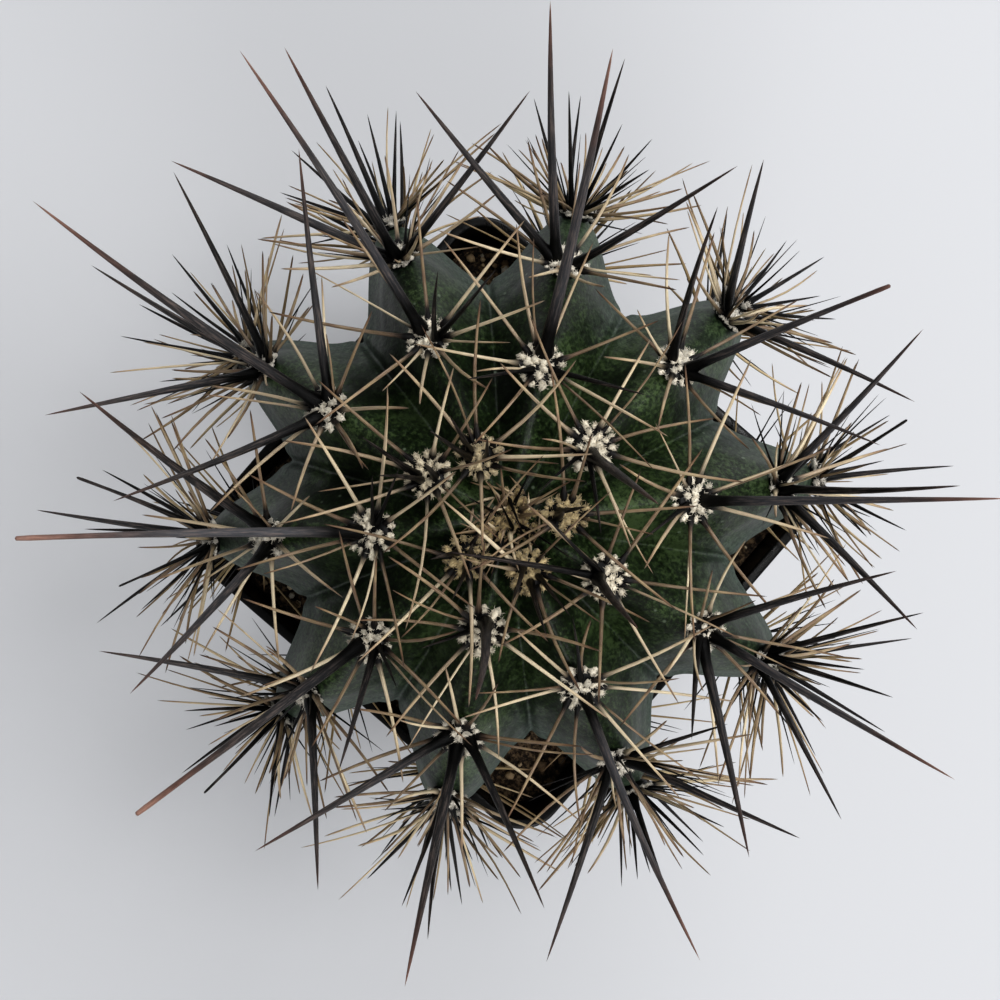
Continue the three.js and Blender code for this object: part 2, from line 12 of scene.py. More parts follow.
import bpy
import numpy as np
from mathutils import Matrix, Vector


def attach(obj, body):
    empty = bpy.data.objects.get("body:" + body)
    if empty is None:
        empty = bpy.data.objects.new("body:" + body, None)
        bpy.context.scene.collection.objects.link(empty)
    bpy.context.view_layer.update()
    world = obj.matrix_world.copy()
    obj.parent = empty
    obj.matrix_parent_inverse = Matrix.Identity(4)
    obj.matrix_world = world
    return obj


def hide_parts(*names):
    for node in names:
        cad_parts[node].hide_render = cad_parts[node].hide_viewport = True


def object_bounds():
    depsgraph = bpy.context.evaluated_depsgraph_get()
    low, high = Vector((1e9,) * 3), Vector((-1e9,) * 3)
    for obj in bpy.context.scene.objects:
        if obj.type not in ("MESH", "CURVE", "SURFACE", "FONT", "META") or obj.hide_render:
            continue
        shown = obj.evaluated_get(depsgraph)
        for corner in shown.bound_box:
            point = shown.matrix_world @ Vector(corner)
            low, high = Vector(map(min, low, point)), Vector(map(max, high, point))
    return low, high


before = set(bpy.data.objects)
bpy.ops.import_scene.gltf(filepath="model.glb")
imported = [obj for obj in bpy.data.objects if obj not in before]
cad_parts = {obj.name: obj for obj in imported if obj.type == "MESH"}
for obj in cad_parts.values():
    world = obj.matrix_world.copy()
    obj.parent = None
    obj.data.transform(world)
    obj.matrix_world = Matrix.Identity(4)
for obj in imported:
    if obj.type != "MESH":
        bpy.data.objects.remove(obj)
cad_box = [list(corner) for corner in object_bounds()]
print("CAD nodes:", len(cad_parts))

# %% [markdown]
# Measures are kept in millimetres, as a maker would note them, and turned to Blender's metres at the last
# step. Nature looks random but a script has to give the same plant each time, so chance comes from a
# shuffle that always turns the same whole number into the same fraction.

# %% Units and chance
MM = 0.001
RAD = math.pi / 180
GOLDEN_ANGLE = 137.5 * RAD


def fraction(number):
    wave = math.sin(number * 12.9898) * 43758.5453
    return wave - math.floor(wave)


def between(limits, number):
    return limits[0] + (limits[1] - limits[0]) * fraction(number)


def smooth(x):
    t = np.clip(x, 0, 1)
    return t * t * (3 - 2 * t)


# %% [markdown]
# The photograph looks straight down from about two thirds of a metre. The camera is placed first, so that
# every later step can be judged against it. Its turn about the line of sight is the turn of the square pot
# in the view.

# %% Camera
EYE = Vector((-3.6, 3.5, 670)) * MM
VIEW_TURN = 40.8 * RAD
LENS = 95.2  # mm of focal length on a sensor 36 mm wide

lens = bpy.data.cameras.new("camera")
lens.lens = LENS
lens.sensor_width = 36
lens.clip_start = 0.01
camera = bpy.data.objects.new("camera", lens)
camera.location = EYE
camera.rotation_euler = (0, 0, VIEW_TURN)
bpy.context.scene.collection.objects.link(camera)
bpy.context.scene.camera = camera

# %% [markdown]
# Every piece here is a mesh worked out from a rule. One function turns arrays of points and faces into an
# object, shades it smooth, and stores extra numbers on its points, such as how far along a spine a point
# lies. The materials read those numbers, so a dark tip stays at the tip of every spine.

# %% From arrays to a piece


def make_piece(name, points, faces, materials, slots=None, numbers=None, shade_smooth=True):
    mesh = bpy.data.meshes.new(name)
    mesh.from_pydata((np.asarray(points) * MM).tolist(), [], faces)
    for material in materials:
        mesh.materials.append(material)
    if slots is not None:
        mesh.polygons.foreach_set("material_index", slots)
    mesh.polygons.foreach_set("use_smooth", [shade_smooth] * len(mesh.polygons))
    for key, values in (numbers or {}).items():
        values = np.asarray(values, dtype=float)
        kind, field = ("FLOAT", "value") if values.ndim == 1 else ("FLOAT_VECTOR", "vector")
        stored = mesh.attributes.new(key, kind, "POINT")
        stored.data.foreach_set(field, values.ravel())
    mesh.update()
    piece = bpy.data.objects.new(name, mesh)
    bpy.context.scene.collection.objects.link(piece)
    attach(piece, "root")
    return piece


@functools.cache
def closed_faces(rings, count):
    """The faces of a closed tube, whose points are its rings, then one at its start and one at its end."""
    faces = []
    for ring in range(rings - 1):
        for i in range(count):
            a = ring * count + i
            b = ring * count + (i + 1) % count
            faces.append((a, b, b + count, a + count))
    start = rings * count
    edge = start - count
    for i in range(count):
        j = (i + 1) % count
        faces.append((j, i, start))
        faces.append((edge + i, edge + j, start + 1))
    return faces


# %% [markdown]
# ## Materials
# Each material starts from what the real one is. Colours are written as sRGB hex values, the way a colour
# card gives them, and one function turns them to the linear values that light is added up in. One more
# function adds a node with its settings and links, and pattern sizes are given as the real size of what
# they draw.

# %% Colour and node helpers


def linear(hex_colour):
    values = [int(hex_colour[i : i + 2], 16) / 255 for i in (1, 3, 5)]
    return tuple(v / 12.92 if v < 0.04045 else ((v + 0.055) / 1.055) ** 2.4 for v in values) + (1,)


def per(size_mm):
    """The scale at which a pattern's cell is this many millimetres across, on coordinates in metres."""
    return 1 / (size_mm * MM)


def add_node(material, kind, inputs=None, stops=None, **settings):
    made = material.node_tree.nodes.new("ShaderNode" + kind)
    for key, value in settings.items():
        setattr(made, key, value)
    if stops:
        elements = made.color_ramp.elements
        while len(elements) < len(stops):
            elements.new(1)
        for element, (place, colour) in zip(elements, stops):
            element.position = place
            element.color = linear(colour) if isinstance(colour, str) else (colour, colour, colour, 1)
    for key, value in (inputs or {}).items():
        if isinstance(value, bpy.types.NodeSocket):
            material.node_tree.links.new(value, made.inputs[key])
        else:
            made.inputs[key].default_value = value
    return made


def new_material(name):
    material = bpy.data.materials.new(name)
    material.use_nodes = True
    return material, material.node_tree.nodes["Principled BSDF"]


def connect(material, output, socket):
    material.node_tree.links.new(output, socket)


FACTOR, COLOUR_A, COLOUR_B, COLOUR_OUT = 0, 6, 7, 2  # the sockets of a Mix node that mixes colours

# %% [markdown]
# ### Skin
# The stem's skin is a living epidermis with a cuticle of wax. Near the top it is young, deep green and
# slightly glossy. Further down the wax builds up as a grey-green bloom, thickest in the sheltered grooves
# and rubbed thin on the crests. A fine mottling is drawn out down the rib, spines' tips have left a few
# pale scratches, and small corky specks dot it. So the mesh stores where bloom can settle, and the material
# breaks that up with noise of three sizes, and lays scratches and specks over it.

# %% Waxy epidermis
SKIN_BLOTCH = 12  # mm across a darker or lighter patch
SKIN_MOTTLE = 2.6  # mm across the small mottling inside a patch
SKIN_STIPPLE = 0.8  # mm between pores, drawn coarser than the real ones so that they show
SKIN_SPECK = 3.6  # mm between corky specks
SCRATCH_CELL = 9  # mm between the pale lines where a spine's tip has brushed the skin
DRAWN_DOWN = 0.45  # the patterns are this much finer across a rib than down it


def make_epidermis():
    skin, shader = new_material("waxy_epidermis")
    here = add_node(skin, "TexCoord").outputs["Object"]
    place = add_node(skin, "Mapping", {"Vector": here, "Scale": (1, 1, DRAWN_DOWN)}).outputs[0]
    bloom_here = add_node(skin, "Attribute", attribute_name="bloom").outputs["Fac"]

    blotch = add_node(
        skin, "TexNoise", {"Vector": place, "Scale": per(SKIN_BLOTCH), "Detail": 3.0, "Roughness": 0.6}
    )
    mottle = add_node(
        skin, "TexNoise", {"Vector": place, "Scale": per(SKIN_MOTTLE), "Detail": 3.0, "Roughness": 0.7}
    )
    stipple = add_node(
        skin, "TexNoise", {"Vector": place, "Scale": per(SKIN_STIPPLE), "Detail": 3.0, "Roughness": 0.75}
    )
    broad = add_node(skin, "Math", {0: blotch.outputs["Fac"], 1: 0.45}, operation="MULTIPLY")
    grain = add_node(
        skin, "Math", {0: stipple.outputs["Fac"], 1: 0.55, 2: broad.outputs[0]}, operation="MULTIPLY_ADD"
    )
    green = add_node(
        skin, "ValToRGB", {0: grain.outputs[0]}, [(0.4, "#0a1006"), (0.5, "#1e2c14"), (0.6, "#485a35")]
    )
    patches = add_node(
        skin, "Math", {0: mottle.outputs["Fac"], 1: 0.9, 2: blotch.outputs["Fac"]}, operation="MULTIPLY_ADD"
    )
    wax_breaks = add_node(
        skin, "Math", {0: stipple.outputs["Fac"], 1: 0.7, 2: patches.outputs[0]}, operation="MULTIPLY_ADD"
    )
    wax = add_node(skin, "Math", {0: wax_breaks.outputs[0], 1: bloom_here}, operation="MULTIPLY")
    wax_share = add_node(
        skin, "MapRange", {"Value": wax.outputs[0], "From Min": 0.16, "From Max": 1.3, "To Max": 0.95}
    )
    wax_colour = add_node(
        skin, "ValToRGB", {0: stipple.outputs["Fac"]}, [(0.36, "#313f36"), (0.64, "#5e6d62")]
    )
    bloomed = add_node(
        skin,
        "Mix",
        {FACTOR: wax_share.outputs[0], COLOUR_A: green.outputs[0], COLOUR_B: wax_colour.outputs[0]},
        data_type="RGBA",
    )
    bent = add_node(
        skin, "Mix", {FACTOR: 0.035, COLOUR_A: here, COLOUR_B: blotch.outputs["Color"]}, data_type="RGBA"
    )
    scratch = add_node(
        skin,
        "TexVoronoi",
        {"Vector": bent.outputs[COLOUR_OUT], "Scale": per(SCRATCH_CELL)},
        feature="DISTANCE_TO_EDGE",
    )
    scratch_line = add_node(
        skin,
        "MapRange",
        {"Value": scratch.outputs["Distance"], "From Max": 0.025, "To Min": 1.0, "To Max": 0.0},
    )
    scratch_here = add_node(
        skin, "MapRange", {"Value": mottle.outputs["Fac"], "From Min": 0.53, "From Max": 0.7, "To Max": 0.2}
    )
    scratch_share = add_node(
        skin, "Math", {0: scratch_line.outputs[0], 1: scratch_here.outputs[0]}, operation="MULTIPLY"
    )
    scratched = add_node(
        skin,
        "Mix",
        {
            FACTOR: scratch_share.outputs[0],
            COLOUR_A: bloomed.outputs[COLOUR_OUT],
            COLOUR_B: linear("#66776a"),
        },
        data_type="RGBA",
    )
    speck = add_node(skin, "TexVoronoi", {"Vector": place, "Scale": per(SKIN_SPECK), "Randomness": 1.0})
    speck_shape = add_node(
        skin,
        "MapRange",
        {"Value": speck.outputs["Distance"], "From Min": 0.06, "From Max": 0.12, "To Min": 0.6, "To Max": 0},
    )
    speck_here = add_node(
        skin, "MapRange", {"Value": speck.outputs["Color"], "From Min": 0.52, "From Max": 0.56}
    )
    speck_share = add_node(
        skin, "Math", {0: speck_shape.outputs[0], 1: speck_here.outputs[0]}, operation="MULTIPLY"
    )
    speckled = add_node(
        skin,
        "Mix",
        {
            FACTOR: speck_share.outputs[0],
            COLOUR_A: scratched.outputs[COLOUR_OUT],
            COLOUR_B: linear("#7f8d78"),
        },
        data_type="RGBA",
    )
    connect(skin, speckled.outputs[COLOUR_OUT], shader.inputs["Base Color"])
    rough = add_node(skin, "MapRange", {"Value": wax_share.outputs[0], "To Min": 0.38, "To Max": 0.72})
    connect(skin, rough.outputs[0], shader.inputs["Roughness"])
    relief = add_node(
        skin, "Math", {0: stipple.outputs["Fac"], 1: 0.3, 2: mottle.outputs["Fac"]}, operation="MULTIPLY_ADD"
    )
    bump = add_node(skin, "Bump", {"Height": relief.outputs[0], "Strength": 0.5, "Distance": 0.35 * MM})
    connect(skin, bump.outputs[0], shader.inputs["Normal"])
    shader.inputs["IOR"].default_value = 1.43
    shader.inputs["Specular IOR Level"].default_value = 0.35
    return skin


epidermis = make_epidermis()

# %% [markdown]
# ### Spines
# A spine is a leaf turned to dead wood: hard, lignified fibre laid lengthwise, like horn to the touch. The
# stout central ones have a black bulb and a slate shaft, and only the longest turn red-brown at the tip,
# while short ones stay black. The slim radial ones are straw-coloured on a dark bulb, with a fine dark
# point. The fibres give both a faint lengthwise grain, which is drawn in each spine's own coordinates.

# %% Lignified fibre, charcoal and straw
FIBRE_GRAIN = (0.3, 5)  # mm across and along the grain
FIBRE_PATCH = 3.5  # mm across a weathered patch


def make_spine_fibre(name, lengthwise, patch, pale, streak, old, shades, rough_limits, gloss):
    """Colours run from root to tip. Weathering and patches spare the bulb, and most of the tip."""
    fibre, shader = new_material(name)
    along = add_node(fibre, "Attribute", attribute_name="along").outputs["Fac"]
    tone = add_node(fibre, "Attribute", attribute_name="tone").outputs["Fac"]
    flow = add_node(fibre, "Attribute", attribute_name="flow").outputs["Vector"]
    body = add_node(fibre, "ValToRGB", {0: along}, lengthwise)
    open_to_weather = add_node(fibre, "ValToRGB", {0: along}, [(0.12, 0), (0.26, 1), (0.6, 1), (0.85, 0.25)])
    age = add_node(fibre, "Attribute", attribute_name="age").outputs["Fac"]
    stretched = add_node(
        fibre, "Mapping", {"Vector": flow, "Scale": (per(FIBRE_GRAIN[0]), per(FIBRE_GRAIN[1]), per(1))}
    )
    grain = add_node(
        fibre, "TexNoise", {"Vector": stretched.outputs[0], "Scale": 1.0, "Detail": 4.0, "Roughness": 0.7}
    )
    weathered = add_node(fibre, "TexNoise", {"Vector": flow, "Scale": per(FIBRE_PATCH), "Detail": 3.0})
    patch_share = add_node(
        fibre,
        "MapRange",
        {"Value": weathered.outputs["Fac"], "From Min": 0.44, "From Max": 0.6, "To Max": 0.85},
    )
    streak_share = add_node(
        fibre, "MapRange", {"Value": grain.outputs["Fac"], "From Min": 0.5, "From Max": 0.6, "To Max": 0.6}
    )
    tone_share = add_node(
        fibre, "MapRange", {"Value": tone, "From Min": 0.45, "From Max": 1.0, "To Max": 0.8}
    )
    age_share = add_node(fibre, "MapRange", {"Value": age, "From Min": 0.5, "From Max": 0.95, "To Max": 0.65})
    colour = body.outputs[0]
    layers = ((patch_share, patch), (tone_share, pale), (streak_share, streak), (age_share, old))
    for share, over in layers:
        here = add_node(
            fibre, "Math", {0: share.outputs[0], 1: open_to_weather.outputs[0]}, operation="MULTIPLY"
        )
        mixed = add_node(
            fibre,
            "Mix",
            {FACTOR: here.outputs[0], COLOUR_A: colour, COLOUR_B: linear(over)},
            data_type="RGBA",
        )
        colour = mixed.outputs[COLOUR_OUT]
    ridge = add_node(
        fibre,
        "MapRange",
        {"Value": grain.outputs["Fac"], "From Min": 0.3, "From Max": 0.7, "To Min": 0.55, "To Max": 1.45},
    )
    depth = add_node(fibre, "MapRange", {"Value": tone, "To Min": shades[0], "To Max": shades[1]})
    value = add_node(fibre, "Math", {0: ridge.outputs[0], 1: depth.outputs[0]}, operation="MULTIPLY")
    shaded = add_node(fibre, "HueSaturation", {"Color": colour, "Value": value.outputs[0]})
    connect(fibre, shaded.outputs[0], shader.inputs["Base Color"])
    rough = add_node(
        fibre,
        "MapRange",
        {"Value": grain.outputs["Fac"], "To Min": rough_limits[0], "To Max": rough_limits[1]},
    )
    connect(fibre, rough.outputs[0], shader.inputs["Roughness"])
    bump = add_node(fibre, "Bump", {"Height": grain.outputs["Fac"], "Strength": 0.8, "Distance": 0.2 * MM})
    connect(fibre, bump.outputs[0], shader.inputs["Normal"])
    shader.inputs["IOR"].default_value = 1.54
    shader.inputs["Specular IOR Level"].default_value = gloss
    return fibre


charcoal_spine = make_spine_fibre(
    "charcoal_spine_fibre",
    [
        (0.0, "#020202"),
        (0.1, "#030303"),
        (0.2, "#0e0e0f"),
        (0.45, "#181616"),
        (0.65, "#35261f"),
        (0.85, "#674a40"),
        (1.0, "#9c7767"),
    ],
    patch="#1f1c1b",
    pale="#4b4b4e",
    streak="#5a504b",
    old="#0d0b0a",
    shades=(0.7, 1.3),
    rough_limits=(0.28, 0.55),
    gloss=0.2,
)
straw_spine = make_spine_fibre(
    "straw_spine_fibre",
    [
        (0.0, "#050303"),
        (0.17, "#0b0706"),
        (0.24, "#7c6950"),
        (0.7, "#b8a17d"),
        (0.9, "#80634b"),
        (1.0, "#14100e"),
    ],
    patch="#8e745f",
    pale="#ecdebe",
    streak="#968778",
    old="#ab9263",
    shades=(0.65, 1.35),
    rough_limits=(0.4, 0.65),
    gloss=0.3,
)

# %% [markdown]
# ### Felt
# The wool of an areole is matted plant hair. Fresh wool at the crown is tan-yellow, grown areoles are cream
# to white, and old ones near the soil turn grey. It scatters light so strongly that it has no highlight, so
# it is rough all over with a little sheen.

# %% Matted wool


def make_wool():
    wool, shader = new_material("matted_wool")
    place = add_node(wool, "TexCoord").outputs["Object"]
    age = add_node(wool, "Attribute", attribute_name="age").outputs["Fac"]
    along = add_node(wool, "Attribute", attribute_name="along").outputs["Fac"]
    tone = add_node(wool, "Attribute", attribute_name="tone").outputs["Fac"]
    by_age = add_node(
        wool,
        "ValToRGB",
        {0: age},
        [(0.03, "#a38d62"), (0.08, "#c8b58c"), (0.14, "#f0e6d0"), (0.5, "#ebe5d8"), (1.0, "#9a9388")],
    )
    mat = add_node(wool, "TexNoise", {"Vector": place, "Scale": per(1.1), "Detail": 4.0, "Roughness": 0.7})
    shade = add_node(
        wool,
        "MapRange",
        {"Value": mat.outputs["Fac"], "From Min": 0.3, "From Max": 0.7, "To Min": 0.66, "To Max": 1.25},
    )
    # Painted shade: the low end of along, on each tuft's underside and at each hair's root, is darkened where
    # the tufts and hairs shade each other.
    painted_shade_low = add_node(wool, "MapRange", {"Value": along, "To Min": 0.42, "To Max": 1.0})
    both = add_node(wool, "Math", {0: shade.outputs[0], 1: painted_shade_low.outputs[0]}, operation="MULTIPLY")
    varied = add_node(wool, "MapRange", {"Value": tone, "To Min": 0.82, "To Max": 1.18})
    value = add_node(wool, "Math", {0: both.outputs[0], 1: varied.outputs[0]}, operation="MULTIPLY")
    coloured = add_node(wool, "HueSaturation", {"Color": by_age.outputs[0], "Value": value.outputs[0]})
    connect(wool, coloured.outputs[0], shader.inputs["Base Color"])
    shader.inputs["Roughness"].default_value = 0.95
    shader.inputs["Specular IOR Level"].default_value = 0.2
    shader.inputs["Sheen Weight"].default_value = 0.25
    return wool


matted_wool = make_wool()

# %% [markdown]
# ### Pot and soil
# The pot is polypropylene, injection moulded and coloured right through with carbon black. The mould leaves
# a fine satin texture, and handling polishes and scratches it. Potting soil is dark damp peat with grains
# of tan grit and pale pumice, all of them dull.

# %% Moulded polypropylene
MOULD_GRAIN = 0.45  # mm between the pits of the mould's texture, drawn coarser than the real 0.1 mm


def make_polypropylene():
    plastic, shader = new_material("moulded_polypropylene")
    place = add_node(plastic, "TexCoord").outputs["Object"]
    dust = add_node(
        plastic, "TexNoise", {"Vector": place, "Scale": per(16), "Detail": 7.0, "Roughness": 0.68}
    )
    dusty = add_node(
        plastic, "ValToRGB", {0: dust.outputs["Fac"]}, [(0.45, "#040404"), (0.75, "#0f0e0d")]
    )
    connect(plastic, dusty.outputs[0], shader.inputs["Base Color"])
    scuff = add_node(
        plastic, "Mapping", {"Vector": place, "Scale": (per(2), per(2), per(26))}
    )
    rubbed = add_node(plastic, "TexNoise", {"Vector": scuff.outputs[0], "Scale": 1.0, "Detail": 4.0})
    rough = add_node(
        plastic,
        "MapRange",
        {"Value": rubbed.outputs["Fac"], "From Min": 0.3, "From Max": 0.7, "To Min": 0.24, "To Max": 0.42},
    )
    connect(plastic, rough.outputs[0], shader.inputs["Roughness"])
    pits = add_node(plastic, "TexNoise", {"Vector": place, "Scale": per(MOULD_GRAIN), "Detail": 2.0})
    bump = add_node(plastic, "Bump", {"Height": pits.outputs["Fac"], "Strength": 0.25, "Distance": 0.08 * MM})
    connect(plastic, bump.outputs[0], shader.inputs["Normal"])
    shader.inputs["IOR"].default_value = 1.49
    shader.inputs["Specular IOR Level"].default_value = 0.35
    return plastic


polypropylene = make_polypropylene()

# %% Damp peat and loose grit


def make_peat():
    peat, shader = new_material("damp_peat")
    place = add_node(peat, "TexCoord").outputs["Object"]
    crumbs = add_node(peat, "TexVoronoi", {"Vector": place, "Scale": per(1.8), "Randomness": 1.0})
    fibres = add_node(
        peat, "TexNoise", {"Vector": place, "Scale": per(1.4), "Detail": 5.0, "Roughness": 0.75}
    )
    colour = add_node(
        peat, "ValToRGB", {0: fibres.outputs["Fac"]}, [(0.38, "#0f0a06"), (0.5, "#3f3125"), (0.62, "#8d765a")]
    )
    connect(peat, colour.outputs[0], shader.inputs["Base Color"])
    height = add_node(
        peat, "Math", {0: crumbs.outputs["Distance"], 1: fibres.outputs["Fac"]}, operation="ADD"
    )
    bump = add_node(peat, "Bump", {"Height": height.outputs[0], "Strength": 1.0, "Distance": 0.9 * MM})
    connect(peat, bump.outputs[0], shader.inputs["Normal"])
    shader.inputs["Roughness"].default_value = 0.92
    return peat


def make_grit():
    grit, shader = new_material("pumice_and_grit")
    place = add_node(grit, "TexCoord").outputs["Object"]
    tone = add_node(grit, "Attribute", attribute_name="tone").outputs["Fac"]
    kinds = add_node(
        grit,
        "ValToRGB",
        {0: tone},
        [(0.0, "#3a2c1f"), (0.4, "#7a6348"), (0.75, "#b59c7a"), (0.95, "#e0d0b2"), (1.0, "#c9c4ba")],
    )
    pits = add_node(grit, "TexNoise", {"Vector": place, "Scale": per(0.6), "Detail": 4.0})
    value = add_node(grit, "MapRange", {"Value": pits.outputs["Fac"], "To Min": 0.55, "To Max": 1.35})
    coloured = add_node(grit, "HueSaturation", {"Color": kinds.outputs[0], "Value": value.outputs[0]})
    connect(grit, coloured.outputs[0], shader.inputs["Base Color"])
    bump = add_node(grit, "Bump", {"Height": pits.outputs["Fac"], "Strength": 0.7, "Distance": 0.25 * MM})
    connect(grit, bump.outputs[0], shader.inputs["Normal"])
    shader.inputs["Roughness"].default_value = 0.88
    return grit


damp_peat = make_peat()
loose_grit = make_grit()

# %% [markdown]
# ## The stem
# The stem is a ball of ten ribs. Its radius from the middle is one formula: round crests, wide grooves that
# deepen away from the top, a small swelling at each areole and a dimple at the very top. A fine grid of
# points over that formula gives a cleaner ridge than subdividing a coarse model would, and the same formula
# later tells each spine how to stay clear of the skin.

# %% The shape of the stem
STEM_MIDDLE = np.array([-1, 3.5, 138])
STEM_RADIUS = 60
RIBS = 10
RIB_STEP = 2 * math.pi / RIBS
FIRST_RIB = 46.3 * RAD
GROOVE_DEPTH = 14
GROOVE_START = 38 * RAD
GROOVE_FADE = 0.3
RIB_SHARPNESS = 1.2
DIMPLE = 3
DIMPLE_ANGLE = 9 * RAD
SWELL = 1.2
SWELL_WIDTH = 6
STEM_LEAN = np.array([0.75, -2.1, 0])
SOIL_LEVEL = 86

FIRST_AREOLE = np.array([10, 19, 27.5, 12, 15.5, 23.5, 9.5, 19, 9.5, 19.5]) * RAD
AREOLE_STEP = 23.5 * RAD
LAST_AREOLE = 128 * RAD
AREOLE_ANGLES = [np.arange(first, LAST_AREOLE, AREOLE_STEP) for first in FIRST_AREOLE]
MOST_ROWS = max(len(angles) for angles in AREOLE_ANGLES)


def rib_crest(turn):
    """1 on the crest of a rib and 0 in the middle of a groove."""
    return ((1 + np.cos(2 * math.pi * (turn - FIRST_RIB) / RIB_STEP)) / 2) ** RIB_SHARPNESS


def stem_radius(angle, turn):
    rib = np.round((turn - FIRST_RIB) / RIB_STEP).astype(int) % RIBS
    crest = rib_crest(turn)
    depth = GROOVE_DEPTH * smooth(angle / GROOVE_START) * np.sin(angle) ** GROOVE_FADE
    swell = 0
    for row in range(MOST_ROWS):
        areole = FIRST_AREOLE[rib] + row * AREOLE_STEP
        away = STEM_RADIUS * (angle - areole) / SWELL_WIDTH
        swell = swell + np.where(areole < LAST_AREOLE, SWELL * np.exp(-away * away), 0)
    dimple = DIMPLE * np.exp(-((angle / DIMPLE_ANGLE) ** 2))
    return STEM_RADIUS - depth * (1 - crest) - dimple + swell * crest


def lean_at(height):
    up = np.maximum(0, (height - STEM_MIDDLE[2]) / STEM_RADIUS)
    return (up * up)[..., None] * STEM_LEAN


def stem_point(angle, turn):
    angle, turn = np.broadcast_arrays(np.asarray(angle, float), np.asarray(turn, float))
    ways = [np.sin(angle) * np.cos(turn), np.sin(angle) * np.sin(turn), np.cos(angle)]
    points = STEM_MIDDLE + stem_radius(angle, turn)[..., None] * np.stack(ways, -1)
    return points + lean_at(points[..., 2])


def height_over_stem(points):
    out = points - STEM_MIDDLE - lean_at(points[..., 2])
    length = np.linalg.norm(out, axis=-1)
    return length - stem_radius(np.arccos(out[..., 2] / length), np.arctan2(out[..., 1], out[..., 0]))


STEM_TOP = stem_point(0, 0)
SOIL_ANGLE = math.acos((SOIL_LEVEL - STEM_MIDDLE[2]) / STEM_RADIUS)
print("Stem top (mm):", STEM_TOP.round(1))

# %% [markdown]
# Real ribs aren't as even as a formula. Between areoles the crest draws in a little, and the flanks carry
# slow waves and shallow creases. Sums of sines of unrelated lengths give that unevenness, small enough that
# cushions and spines still sit on the skin.

# %% The skin's mesh
TURNS_PER_RIB = 36
TO_GROOVE = 0.12  # how far the points of each rib are drawn from the crest to the grooves
CREASE_DEPTH = 1.5
CREASE_WIDTH = 1.3
SKIN_RINGS = 150
FOOT = [(12, 0.8), (24, 0.5)]  # mm below the soil and share of the ring there, for the buried foot


def unevenness(angle, turn):
    crest = rib_crest(turn)
    slow = 0.35 * np.sin(3.1 * turn + 5.3 * angle + 1.7) * np.sin(4.7 * angle - 1.3 * turn)
    dents = 0.12 * np.sin(31 * angle + 3 * np.sin(7 * turn)) * np.sin(13 * angle + 11 * turn)
    groove = 0.2 * np.sin(17 * angle + 2.2 * np.sin(9 * turn)) * np.sin(29 * turn + 9 * angle) * (1 - crest)
    from_groove = ((turn - FIRST_RIB) / RIB_STEP) % 1 - 0.5
    off_crease = from_groove * RIB_STEP * STEM_RADIUS * np.sin(angle) / CREASE_WIDTH
    crease = CREASE_DEPTH * np.exp(-off_crease * off_crease)
    return (slow + dents + groove - crease) * smooth(angle / (20 * RAD))


def make_stem():
    steps = np.arange(RIBS * TURNS_PER_RIB) / TURNS_PER_RIB
    turns = FIRST_RIB + RIB_STEP * (steps + TO_GROOVE * np.sin(2 * math.pi * steps))
    angles = np.linspace(0.8 * RAD, SOIL_ANGLE, SKIN_RINGS)
    angle, turn = np.meshgrid(angles, turns, indexing="ij")
    skin = stem_point(angle, turn)
    out = skin - STEM_MIDDLE
    out /= np.linalg.norm(out, axis=-1, keepdims=True)
    skin += out * unevenness(angle, turn)[..., None]
    last = skin[-1].copy()
    last[:, 2] = SOIL_LEVEL - 3
    foot = [last]
    for depth, share in FOOT:
        ring = (last - STEM_MIDDLE) * share + STEM_MIDDLE
        ring[:, 2] = SOIL_LEVEL - depth
        foot.append(ring)
    rings = np.concatenate([skin, np.stack(foot)])
    angle = np.concatenate([angle, np.full((len(foot), len(turns)), SOIL_ANGLE)])
    turn = np.concatenate([turn, np.tile(turns, (len(foot), 1))])
    points = np.concatenate([rings.reshape(-1, 3), [STEM_TOP], [foot[-1].mean(axis=0)]])
    faces = [face[::-1] for face in closed_faces(len(rings), len(turns))]
    bloom = smooth((angle - 42 * RAD) / (50 * RAD)) * (1 - 0.5 * rib_crest(turn)) + 0.14
    numbers = {"bloom": np.append(bloom.ravel(), [0, 0])}
    return make_piece("stem_skin", points, faces, [epidermis], numbers=numbers)


stem = make_stem()
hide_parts("stem")
print("Stem faces:", len(stem.data.polygons))

# %% [markdown]
# ## Where the spines grow
# The long dark spines that show in the photograph were noted one by one: the rib and row they grow from, how
# far they turn aside, how high they lift, and how long they are. The others follow a rule. Each spine then
# takes the smallest turn away from its wanted way that brings it clear of the skin, the pot and the other
# areoles' spines. One that finds no clear way is shortened, and if that doesn't help it is left out. This is
# the same growth, in the same order, as in the CAD model, so each of these lies along its plain solid. Only
# then come two spines that were noted late and the many slim ones, which the CAD model leaves out. They can't
# push the first ones aside, and a slim one that would pass the CAD model's box is dropped.

# %% Measures of cushions and spines
PAD_ACROSS = 4.2
PAD_ALONG = 4.9
PAD_HIGH = 2.4
PAD_LIFT = 0.5
PAD_YOUNG_SCALE = 0.78
PAD_GROWN_ANGLE = 20 * RAD
CENTRAL_SPREAD = 1.5
RADIAL_SPREAD = 3
CENTRAL_SLIMMEST = 0.6
GIRTH_PER_LENGTH = 0.018
CENTRAL_STOUTEST = 1.5
SHOULDER = 0.55
BROKEN_TIP = 0.55
RADIAL_RADIUS = 0.72
RADIAL_LENGTH = (19, 27)
RADIAL_LIFT = (14 * RAD, 30 * RAD)
FAN_COUNT = 3
FAN_LAST_COUNT = 2
FAN_HALF_SPREAD = 45
FAN_LENGTH = (19, 29)
FAN_LIFT = (-15, 15)
LOWEST_ROW = 5
FINE_FROM = 55 * RAD
FINE_ON_FLANK = 17
FINE_ON_TOP = 3
FINE_DARK_EVERY = 2
FINE_LENGTH = (15, 29)
FINE_DARK_LENGTH = (12, 21)
FINE_LIFT = (4 * RAD, 56 * RAD)
